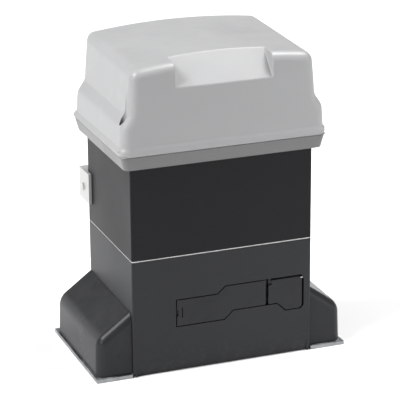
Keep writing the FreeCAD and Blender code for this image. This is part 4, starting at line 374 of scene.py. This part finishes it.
# How far, in metres, noise shifts the zinc's spangle
ZINC_WARP = (0.012, 0.012, 0.012)
LAMINATE = ((0.010, 0.085, 0.030, 1.0), (0.016, 0.120, 0.045, 1.0))
TRACKS = (0.035, 0.200, 0.080, 1.0)
PADS = (0.62, 0.60, 0.56, 1.0)
# The board's weave, in radians a metre
WEAVE = 5200
FIBRES = ((0.86, 0.86, 0.84, 1.0), (0.93, 0.93, 0.91, 1.0))
PRESSED_FIBRES = (0.62, 0.62, 0.60, 1.0)
# Depth of the moulded grain in mm when it shows in full
FULL_GRAIN = 0.06
# The tray's grey as a share of the hood's: the same plastic, darkened as painted shade under the bead
TRAY_PAINTED_SHADE = 0.5
# Nodes with a finish that differs from the rest of their slot. The tray's is the hood's plastic darkened as
# painted shade
OWN_FINISH = {"motor_housing": "housing_paint", "tray": "tray_plastic"}


def moulded(name, rgb, roughness, specular, grain_depth, dust, mottle):
    """Moulded plastic: spark grain, faint flow mottling, rubbed patches and dust where it lies flat."""
    shader = Shader(name, Specular_IOR_Level=specular)
    cloud = shader.noise(14, 4)
    grain = shader.noise(1700, 2)
    pits = shader.cells(1150)
    rubbed = shader.noise(38, 5, distortion=0.6).span(0.56, 0.72)
    flat = shader.axis("Z", shader.facing).span(0.5, 1.0)
    settled = flat * shader.noise(60, 6).span(0.35, 0.75) * dust
    base = shader.mix(cloud.span(0.3, 0.7), shade(rgb, 1 - mottle), shade(rgb, 1 + mottle))
    base = shader.mix(grain.span(0.35, 0.65) * 0.10, base, shade(rgb, 0.72))
    base = shader.mix(settled, base, DUST)
    rough = cloud.span(0.3, 0.7, roughness - 0.04, roughness + 0.04)
    rough = rough - rubbed * 0.06 + grain.span(0.3, 0.7) * 0.05
    height = grain * 0.6 + pits * 0.5
    return shader.feed(Base_Color=base, Roughness=rough, Normal=shader.bump(height, grain_depth))


def powder_coat(name, rgb, roughness, specular):
    """Charcoal powder coat on a casting: orange peel, grit, faint cloud and scratches, marks at the foot."""
    shader = Shader(name, Specular_IOR_Level=specular)
    cloud = shader.noise(9, 4)
    peel = shader.noise(420, 2)
    grit = shader.noise(2100, 2)
    scratch = shader.noise(55, 6, shader.stretched(1, 1, 9), 0.8).span(0.64, 0.74)
    foot = shader.axis("Z").span(*FOOT_MARKS_SPAN, 1.0, 0.0)
    marks = shader.noise(170, 5).span(0.52, 0.66) * foot
    base = shader.mix(cloud.span(0.3, 0.7), shade(rgb, 0.88), shade(rgb, 1.14))
    base = shader.mix(grit.span(0.4, 0.7) * 0.25, base, shade(rgb, 1.9))
    base = shader.mix(marks * 0.08, base, FOOT_MARKS)
    base = shader.mix(scratch * 0.18, base, shade(rgb, 3.0))
    rough = cloud.span(0.3, 0.7, roughness - 0.05, roughness + 0.05)
    rough = rough + marks * 0.2 + grit.span(0.3, 0.7) * 0.06
    height = peel * 0.7 + grit * 0.5
    return shader.feed(Base_Color=base, Roughness=rough, Normal=shader.bump(height, 0.03))


def galvanised(name, rgb):
    """Hot dip zinc: spangle, milky bloom and fine pitting."""
    shader = Shader(name, Specular_IOR_Level=0.5)
    warp = shader.add("ShaderNodeVectorMath", {"operation": "MULTIPLY_ADD"},
                      {0: shader.noise_colour(70), 1: ZINC_WARP, 2: shader.place})
    spangle = shader.axis("X", shader.cells(150, "Color", place=warp))
    fine = shader.axis("X", shader.cells(520, "Color", place=warp))
    bloom = shader.noise(30, 6).span(0.42, 0.7)
    pits = shader.noise(900, 4)
    base = shader.mix(spangle * 0.7 + fine * 0.3, shade(rgb, 0.72), shade(rgb, 1.28))
    base = shader.mix(bloom * 0.5, base, ZINC_BLOOM)
    rough = spangle.span(0, 1, 0.32, 0.52) + bloom * 0.22
    metal = 1 - bloom * 0.45
    bump = shader.bump(pits * 0.6 + spangle * 0.2, 0.05)
    return shader.feed(Base_Color=base, Roughness=rough, Metallic=metal, Normal=bump)


def machined(name, rgb, roughness, streaks, wear=0.12, grime=0.15):
    """Machined or plated metal: tool streaks along one way, stains and small nicks."""
    shader = Shader(name, Metallic=1.0)
    lines = shader.noise(260, 3, shader.stretched(*streaks))
    stain = shader.noise(45, 5).span(0.5, 0.75)
    nicks = shader.noise(620, 4).span(0.66, 0.74)
    base = shader.mix(lines.span(0.3, 0.7), shade(rgb, 1 - wear), shade(rgb, 1 + wear))
    base = shader.mix(stain * grime, base, shade(rgb, 0.45))
    rough = lines.span(0.3, 0.7, roughness - 0.06, roughness + 0.08) + stain * 0.15
    height = lines * 0.5 - nicks * 0.5
    return shader.feed(Base_Color=base, Roughness=rough, Normal=shader.bump(height, 0.02))


def layered(name, rgb, pitch, axis, gap_shade=0.35, metallic=1.0, roughness=0.4):
    """Stacked sheets or close turns of wire: dark lines at a pitch in mm across one axis."""
    shader = Shader(name, Metallic=metallic)
    wave = (shader.axis(axis) * (tau / (pitch * MM))).math("SINE").span(-1, 1)
    across = [0.35 / (pitch * MM) if letter == axis else 4 for letter in "XYZ"]
    sheet = shader.noise(1.0, 0, shader.stretched(*across))
    stain = shader.noise(110, 5).span(0.45, 0.75)
    base = shader.mix(sheet, shade(rgb, 0.8), shade(rgb, 1.15))
    base = shader.mix(wave.span(0.0, 0.35, 1.0, 0.0) * 0.8, base, shade(rgb, gap_shade))
    base = shader.mix(stain * 0.25, base, shade(rgb, 0.5))
    rough = stain * 0.2 + roughness
    return shader.feed(Base_Color=base, Roughness=rough, Normal=shader.bump(wave, 0.12))


def board(name):
    """Green laminate with tracks, pads and a faint weave under the lacquer."""
    shader = Shader(name, Coat_Roughness=0.12, Coat_Weight=0.5)
    flat = shader.stretched(1, 1, 0)
    tracks = shader.cells(190, feature="DISTANCE_TO_EDGE", place=flat, randomness=0.35)
    tracks = tracks.span(0.04, 0.09, 1.0, 0.0)
    pads = shader.cells(260, place=flat, randomness=0.0).span(0.12, 0.16, 1.0, 0.0)
    weave = (shader.axis("X") * WEAVE).math("SINE") * (shader.axis("Y") * WEAVE).math("SINE")
    base = shader.mix(shader.noise(60, 3), *LAMINATE)
    base = shader.mix(tracks * 0.8, base, TRACKS)
    base = shader.mix(pads * 0.7, base, PADS)
    rough = 0.42 - pads * 0.12 + weave * 0.02
    height = tracks * 0.6 + pads * 0.4
    return shader.feed(Base_Color=base, Roughness=rough, Normal=shader.bump(height, 0.04))


def pressed_sheet(name):
    """Light sealing sheet seen along its edge: fibres and compressed patches."""
    shader = Shader(name, Specular_IOR_Level=0.3)
    fibre = shader.noise(900, 5, shader.stretched(0.3, 0.3, 2))
    patch = shader.noise(70, 4)
    base = shader.mix(fibre.span(0.3, 0.7), *FIBRES)
    base = shader.mix(patch.span(0.4, 0.7) * 0.1, base, PRESSED_FIBRES)
    rough = patch.span(0.3, 0.7, 0.7, 0.85)
    return shader.feed(Base_Color=base, Roughness=rough, Normal=shader.bump(fibre, 0.03))


def make_materials():
    """Every finish by name: one for each slot of the record, the housing's own, and a darker copy of the
    hood's plastic for the tray as painted shade.
    """
    look = bpy.context.scene.gate_motor_finish
    grain = FULL_GRAIN * look.grain
    tray_painted_shade_colour = [c * TRAY_PAINTED_SHADE for c in look.hood_colour]
    recipes = (
        (moulded, "light_plastic", look.hood_colour, 0.38, 0.45, grain, 0.05, 0.02),
        # The tray: the hood's plastic with its grey darkened, as painted shade under the bead
        (moulded, "tray_plastic", tray_painted_shade_colour, 0.36, 0.35, grain, 0.03, 0.02),
        (moulded, "dark_plastic", look.cover_colour, 0.27, 0.14, grain * 1.3, 0.02, 0.12),
        (moulded, "white_plastic", look.box_colour, 0.35, 0.45, grain * 0.5, 0.04, 0.03),
        (powder_coat, "case_paint", look.case_colour, 0.42, 0.18),
        (powder_coat, "housing_paint", look.housing_colour, 0.40, 0.12),
        (galvanised, "galvanised_steel", look.plate_colour),
        (machined, "zinc_steel", (0.62, 0.62, 0.60), 0.34, (1, 1, 8)),
        (machined, "machined_steel", (0.50, 0.51, 0.52), 0.30, (1, 40, 1)),
        (machined, "bearing_steel", (0.66, 0.66, 0.67), 0.16, (2, 2, 2), 0.05, 0.08),
        (machined, "bronze", (0.62, 0.36, 0.15), 0.32, (1, 30, 1), 0.10, 0.25),
        (machined, "lock_brass", (0.72, 0.55, 0.24), 0.26, (1, 20, 1), 0.08, 0.2),
        (machined, "cast_aluminium", (0.60, 0.61, 0.62), 0.48, (3, 3, 3), 0.1, 0.1),
        (machined, "capacitor_can", (0.70, 0.71, 0.72), 0.30, (1, 1, 30), 0.05, 0.05),
        (layered, "lamination_steel", (0.40, 0.41, 0.43), 1.0, "Z"),
        (layered, "copper_winding", (0.62, 0.25, 0.08), 0.9, "Z", 0.15, 0.8, 0.32),
        (moulded, "rubber", (0.018, 0.018, 0.019), 0.78, 0.25, 0.03, 0.05, 0.1),
        (pressed_sheet, "gasket_sheet"),
        (board, "board_laminate"),
        (moulded, "terminal_plastic", (0.05, 0.26, 0.10), 0.42, 0.4, 0.02, 0.02, 0.08),
        (moulded, "component_black", (0.022, 0.022, 0.024), 0.45, 0.4, 0.03, 0.04, 0.1),
        (moulded, "button_plastic", (0.55, 0.06, 0.04), 0.35, 0.4, 0.02, 0.02, 0.06),
    )
    return {name: maker(name, *values) for maker, name, *values in recipes}


class GATE_OT_finishes(bpy.types.Operator):
    """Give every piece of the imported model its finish"""

    bl_idname = "gate_motor.finishes"
    bl_label = "Finishes"

    def execute(self, context):
        made = make_materials()
        slots = {part["node"]: part["material_slot"] for part in frame["record"]["subparts"]}
        for name, item in frame["nodes"].items():
            material = made[OWN_FINISH.get(name, slots[name])]
            for place in item.material_slots:
                place.material = material
        return {"FINISHED"}


# The hood, in mm: each level gives its height, half width, and reach to the front and to the rear

HOOD_BLOCK = (109.0, 76.0)
HOOD_FOOT = 240.6
HOOD_TOP = 337.0
HOOD_LEVELS = (
    (HOOD_FOOT, 109.4, 78.8, 77.2), (241.2, 110.3, 79.6, 78.0), (242.4, 110.7, 80.0, 78.4),
    (246.0, 110.7, 80.0, 78.4), (247.6, 110.4, 79.8, 78.1), (248.8, 109.7, 79.3, 77.5),
    (249.6, 109.2, 78.7, 76.5), (250.6, 109.0, 78.4, 76.0), (265.5, 108.3, 77.9, 75.2),
    (268.5, 107.9, 77.8, 75.05), (271.0, 107.1, 77.7, 74.9), (273.2, 105.9, 77.6, 74.75),
    (280.5, 101.1, 77.4, 74.3), (282.8, 100.3, 77.35, 74.2), (285.4, 99.9, 77.3, 74.05),
    (288.4, 99.6, 77.2, 73.9), (HOOD_TOP, 96.8, 76.0, 72.1),
)
HOOD_STEPS = 6
HOOD_SMOOTH = 28
# The crown's height in the middle, the columns of its arch, and how far its corners and edges reach down
CROWN_TOP = 336.0
CROWN_COLUMNS = range(-84, 85, 12)
CROWN_DEPTH = 12.0
CROWN_EDGE_DEPTH = 16.0
# Edges further to the front or rear than this are at a corner, and steep ones there are upright
CORNER_START = 60.0
UPRIGHT = 0.5
LEAST_EDGE = 2.0
# The notch's sloping floor by its front and rear in y and z, and the height from which its edges are rounded
NOTCH_FLOOR = ((-95.0, 286.3), (-47.5, 337.1))
NOTCH_ROOF = 370.0
NOTCH_EDGE_START = 303.0
NOTCH_STEPS = 3
# A tower carries each screw. A pocket opens its upper part, and a hole goes on to its foot
SCREW_PLACES = ((-102.4, -65.8), (102.4, -65.8))
TOWER_RADIUS = 7.0
TOWER_SPAN = (HOOD_FOOT + 0.2, 290.0)
TOWER_SIDES = 32
TOWER_TRIM = 0.4
POCKET_SPAN = (252.0, 330.0)
SCREW_HOLE_RADIUS = 2.6
SCREW_HOLE_SPAN = (230.0, 253.0)
HOLE_SIDES = 40


def hood_form(name, inset, sizes):
    """The hood's outside, drawn in by an inset in mm: stacked levels, an arched crown and rounded edges."""
    wide, deep = HOOD_BLOCK
    piece = start_block(name, (-wide, -deep, HOOD_FOOT - inset), (wide, deep, HOOD_TOP - inset))
    for level, *_ in HOOD_LEVELS[1:-1]:
        cut_across(piece, 2, level * MM)
    for level, half_x, front, back in HOOD_LEVELS:
        at = level - inset if level in (HOOD_FOOT, HOOD_TOP) else level
        resize_level(piece, at * MM, ((half_x - inset) / wide, ((front + back) / 2 - inset) / deep))
        bpy.ops.transform.translate(value=(0, (back - front) / 2 * MM, 0))
    top = (HOOD_TOP - inset) * MM
    side = HOOD_LEVELS[-1][1] - inset
    arch_crown(piece, top, side, sizes)

    def rounded(edge):
        place, way = middle(edge), run_of(edge)
        high = place.z > top - CROWN_EDGE_DEPTH * MM
        at_side = abs(place.x) > side * MM - TOUCH
        at_front = place.y < -CORNER_START * MM
        at_corner = at_side and abs(place.y) > CORNER_START * MM
        along_crown = (way.y > ALONG and at_side) or (way.x > ALONG and at_front)
        return (way.z > UPRIGHT and at_corner) or (high and along_crown)
    round_edges(piece, rounded, max(sizes.crown_edge - inset * MM, LEAST_EDGE * MM), HOOD_STEPS)
    bpy.ops.object.mode_set(mode="OBJECT")
    return piece


def arch_crown(piece, top, side, sizes):
    """Lets the crown's corners down to an arch from side to side, and those at the front further."""
    for column in CROWN_COLUMNS:
        cut_across(piece, 0, column * MM)
    radius = sizes.crown_radius
    for column in (-side, *CROWN_COLUMNS, side):
        drop = (HOOD_TOP - CROWN_TOP) * MM + radius - sqrt(radius ** 2 - (column * MM) ** 2)
        pick(piece, "VERT", lambda v: v.co.z > top - TOUCH and abs(v.co.x - column * MM) < TOUCH)
        bpy.ops.transform.translate(value=(0, 0, -drop))
    pick(piece, "VERT", lambda v: v.co.z > top - CROWN_DEPTH * MM and v.co.y < 0)
    bpy.ops.transform.translate(value=(0, 0, -sizes.crown_fall))


def notch_form(name, spread, sizes):
    """Wedge that opens the notch, made larger by so many mm."""
    (front_y, front_z), (back_y, back_z) = NOTCH_FLOOR
    foot = front_z - spread
    half = sizes.notch_half / MM + spread
    piece = start_block(name, (-half, front_y, foot), (half, back_y + spread, NOTCH_ROOF))
    pick(piece, "VERT", lambda v: v.co.z < foot * MM + TOUCH and v.co.y > back_y * MM - TOUCH)
    bpy.ops.transform.translate(value=(0, 0, (back_z - front_z) * MM))
    bpy.ops.object.mode_set(mode="OBJECT")
    return piece


def round_notch(hood, sizes):
    """Rounds the edges that the notch leaves in the crown."""
    (front_y, front_z), (back_y, back_z) = NOTCH_FLOOR
    slope = (back_z - front_z) / (back_y - front_y)
    half = sizes.notch_half

    def on_end(v):
        return abs(abs(v.co.x) - half) < TOUCH and v.co.z > NOTCH_EDGE_START * MM

    def on_floor(v):
        level = (front_z + (v.co.y / MM - front_y) * slope) * MM
        beside = abs(v.co.x) < half + TOUCH
        return abs(v.co.z - level) < TOUCH and beside and v.co.z > NOTCH_EDGE_START * MM

    def at_notch(edge):
        return all(on_end(v) for v in edge.verts) or all(on_floor(v) for v in edge.verts)
    take(hood)
    bpy.ops.object.mode_set(mode="EDIT")
    round_edges(hood, at_notch, sizes.notch_edge, NOTCH_STEPS)
    bpy.ops.object.mode_set(mode="OBJECT")


class GATE_OT_hood(bpy.types.Operator):
    """Model the hood with its bead, shoulders, arched crown, bare notch and screw pockets"""

    bl_idname = "gate_motor.hood"
    bl_label = "Hood"

    def execute(self, context):
        sizes = context.scene.gate_motor_hood
        wall = sizes.wall / MM
        hood = hood_form("hood_moulding", 0.0, sizes)
        room = hood_form("hood_room", wall, sizes)
        combine(room, notch_form("notch_room", wall, sizes), "DIFFERENCE")
        combine(hood, room, "DIFFERENCE")
        combine(hood, notch_form("notch", 0.0, sizes), "DIFFERENCE")
        for place in SCREW_PLACES:
            tower = upright_bar("tower", TOWER_RADIUS, place, TOWER_SPAN, TOWER_SIDES)
            combine(tower, hood_form("tower_trim", TOWER_TRIM, sizes), "INTERSECT")
            combine(hood, tower, "UNION")
        for place in SCREW_PLACES:
            for radius, span in ((sizes.pocket / MM, POCKET_SPAN), (SCREW_HOLE_RADIUS, SCREW_HOLE_SPAN)):
                combine(hood, upright_bar("pocket", radius, place, span, HOLE_SIDES), "DIFFERENCE")
        round_notch(hood, sizes)
        finish_piece(hood, "hood", "light_plastic", ["hood"], HOOD_SMOOTH)
        return {"FINISHED"}


# The right foot cover, in mm

COVER_LOW = (98.7, -66.0, 4.0)
COVER_HIGH = (135.6, 74.0, 70.0)
# How the outer top edge moves inwards and down
COVER_BROW = (-1.0, -26.0)
# The top wall is this many times as thick as the others
COVER_TOP_WALL = 1.25
# How far the room inside passes the open inner side and foot
COVER_OPENING = 1.0
COVER_STEPS = 8
COVER_SMOOTH = 32
SLOPING = 0.2


def cover_form(name, inset, end_gap, radius):
    """A foot cover's solid form: a block whose outer top edge is drawn down, then rounded."""
    low = (COVER_LOW[0] - end_gap, COVER_LOW[1] + inset, COVER_LOW[2] - end_gap)
    high = (COVER_HIGH[0] - inset, COVER_HIGH[1] - inset, COVER_HIGH[2] - inset * COVER_TOP_WALL)
    piece = start_block(name, low, high)
    pick(piece, "VERT", lambda v: v.co.x > high[0] * MM - TOUCH and v.co.z > high[2] * MM - TOUCH)
    bpy.ops.transform.translate(value=(COVER_BROW[0] * MM, 0, COVER_BROW[1] * MM))

    def outer(edge):
        place, way = middle(edge), run_of(edge)
        inside = place.x < low[0] * MM + TOUCH
        return not inside and place.z > low[2] * MM + TOUCH and (way.y > ALONG or way.z > SLOPING)
    round_edges(piece, outer, radius, COVER_STEPS)
    bpy.ops.object.mode_set(mode="OBJECT")
    return piece


class GATE_OT_covers(bpy.types.Operator):
    """Model one foot cover and copy it to the other side"""

    bl_idname = "gate_motor.covers"
    bl_label = "Foot covers"

    def execute(self, context):
        sizes = context.scene.gate_motor_cover
        wall = sizes.wall / MM
        right = cover_form("cover_right", 0.0, 0.0, sizes.edge)
        room = cover_form("cover_room", wall, COVER_OPENING, sizes.edge - sizes.wall)
        combine(right, room, "DIFFERENCE")
        left = bpy.data.objects.new("cover_left", right.data.copy())
        context.scene.collection.objects.link(left)
        left.data.transform(Matrix.Scale(-1, 4, (1, 0, 0)))
        finish_piece(right, "base", "dark_plastic", ["side_cover_right"], COVER_SMOOTH)
        finish_piece(left, "base", "dark_plastic", ["side_cover_left"], COVER_SMOOTH)
        return {"FINISHED"}


# The stage, in metres

FLOOR_SIZE = 60.0
# The middle of the motor
AIM = Vector((0.0, 0.0, 0.17))
# Each light's name, kind, place, and the property that makes it wide
LIGHTS = (
    ("key", "SUN", (-1.15, -0.08, 1.45), "angle", radians(30)),
    ("fill", "AREA", (0.85, -0.75, 0.35), "size", 0.6),
    ("rim", "AREA", (-1.6, 2.0, 0.8), "size", 1.5),
    ("top", "AREA", (0.75, -0.1, 2.0), "size", 0.8),
    ("glint", "AREA", (-2.1, -0.7, 0.75), "size", 0.25),
)
# The camera's place, its directions to the right and up, and its sensor's width in mm
EYE = Vector((-0.723585, -1.916613, 0.881678))
EYE_RIGHT = Vector((0.93436826, -0.35624074, -0.00696322))
EYE_UP = Vector((0.12479466, 0.30888864, 0.94287544))
SENSOR_WIDTH = 36.0


def add_floor(rgb):
    """The pale floor, a little uneven in tone."""
    deselect()
    bpy.ops.mesh.primitive_plane_add(size=FLOOR_SIZE)
    floor = bpy.context.object
    floor.name = "floor"
    shader = Shader("floor_paint", Specular_IOR_Level=0.1)
    tone = shader.noise(0.6, 2).span(0.3, 0.7)
    base = shader.mix(tone, shade(rgb, 0.99), shade(rgb, 1.01))
    floor.data.materials.append(shader.feed(Base_Color=base, Roughness=tone.span(0, 1, 0.8, 0.9)))


def add_surroundings(brightness):
    """Even grey light from all round."""
    world = bpy.data.worlds.new("surroundings")
    world.use_nodes = True
    world.node_tree.nodes["Background"].inputs["Color"].default_value = (*[brightness] * 3, 1.0)
    bpy.context.scene.world = world


def add_light(name, kind, place, width, value, strength):
    """A light that looks at the middle of the motor, with the property that makes it wide."""
    data = bpy.data.lights.new(name, kind)
    data.energy = strength
    setattr(data, width, value)
    lamp = bpy.data.objects.new(name, data)
    lamp.location = place
    lamp.rotation_euler = (AIM - lamp.location).to_track_quat("-Z", "Y").to_euler()
    bpy.context.scene.collection.objects.link(lamp)


def add_camera(lens):
    """The camera at the photograph's viewing angle."""
    data = bpy.data.cameras.new("camera")
    data.lens = lens
    data.sensor_width = SENSOR_WIDTH
    camera = bpy.data.objects.new("camera", data)
    turn = Matrix((EYE_RIGHT, EYE_UP, EYE_RIGHT.cross(EYE_UP))).transposed().to_4x4()
    camera.matrix_world = Matrix.Translation(EYE) @ turn
    bpy.context.scene.collection.objects.link(camera)
    bpy.context.scene.camera = camera


class GATE_OT_stage(bpy.types.Operator):
    """Add the floor, the surroundings, the lights and the camera"""

    bl_idname = "gate_motor.stage"
    bl_label = "Stage"

    def execute(self, context):
        settings = context.scene.gate_motor_stage
        add_floor(settings.floor_colour)
        add_surroundings(settings.world)
        for name, *light in LIGHTS:
            add_light(name, *light, getattr(settings, f"{name}_power"))
        add_camera(settings.lens)
        context.scene.view_settings.view_transform = "Standard"
        return {"FINISHED"}


# The panel and the steps in order

class GATE_PT_panel(bpy.types.Panel):
    """Lists the settings and the steps"""

    bl_label = "Gate Motor"
    bl_idname = "GATE_PT_panel"
    bl_space_type = "VIEW_3D"
    bl_region_type = "UI"
    bl_category = "Gate Motor"

    def draw(self, context):
        for name, group in SETTINGS.items():
            box = self.layout.box()
            for key in group.__annotations__:
                box.prop(getattr(context.scene, name), key)
        for operator in OPERATORS:
            self.layout.operator(operator.bl_idname)


SETTINGS = {
    "gate_motor_hood": HoodSettings,
    "gate_motor_cover": CoverSettings,
    "gate_motor_finish": FinishSettings,
    "gate_motor_stage": StageSettings,
}
OPERATORS = [GATE_OT_finishes, GATE_OT_hood, GATE_OT_covers, GATE_OT_stage]
CLASSES = [*SETTINGS.values(), *OPERATORS, GATE_PT_panel]


def register():
    """Adds the classes and the scene's settings."""
    for item in CLASSES:
        bpy.utils.register_class(item)
    for name, group in SETTINGS.items():
        setattr(bpy.types.Scene, name, bpy.props.PointerProperty(type=group))


def unregister():
    """Takes the settings and the classes away."""
    for name in SETTINGS:
        delattr(bpy.types.Scene, name)
    for item in reversed(CLASSES):
        bpy.utils.unregister_class(item)


def main():
    """Builds everything in order."""
    register()
    for operator in OPERATORS:
        family, name = operator.bl_idname.split(".")
        getattr(getattr(bpy.ops, family), name)()
    deselect()


if __name__ == "__main__":
    main()
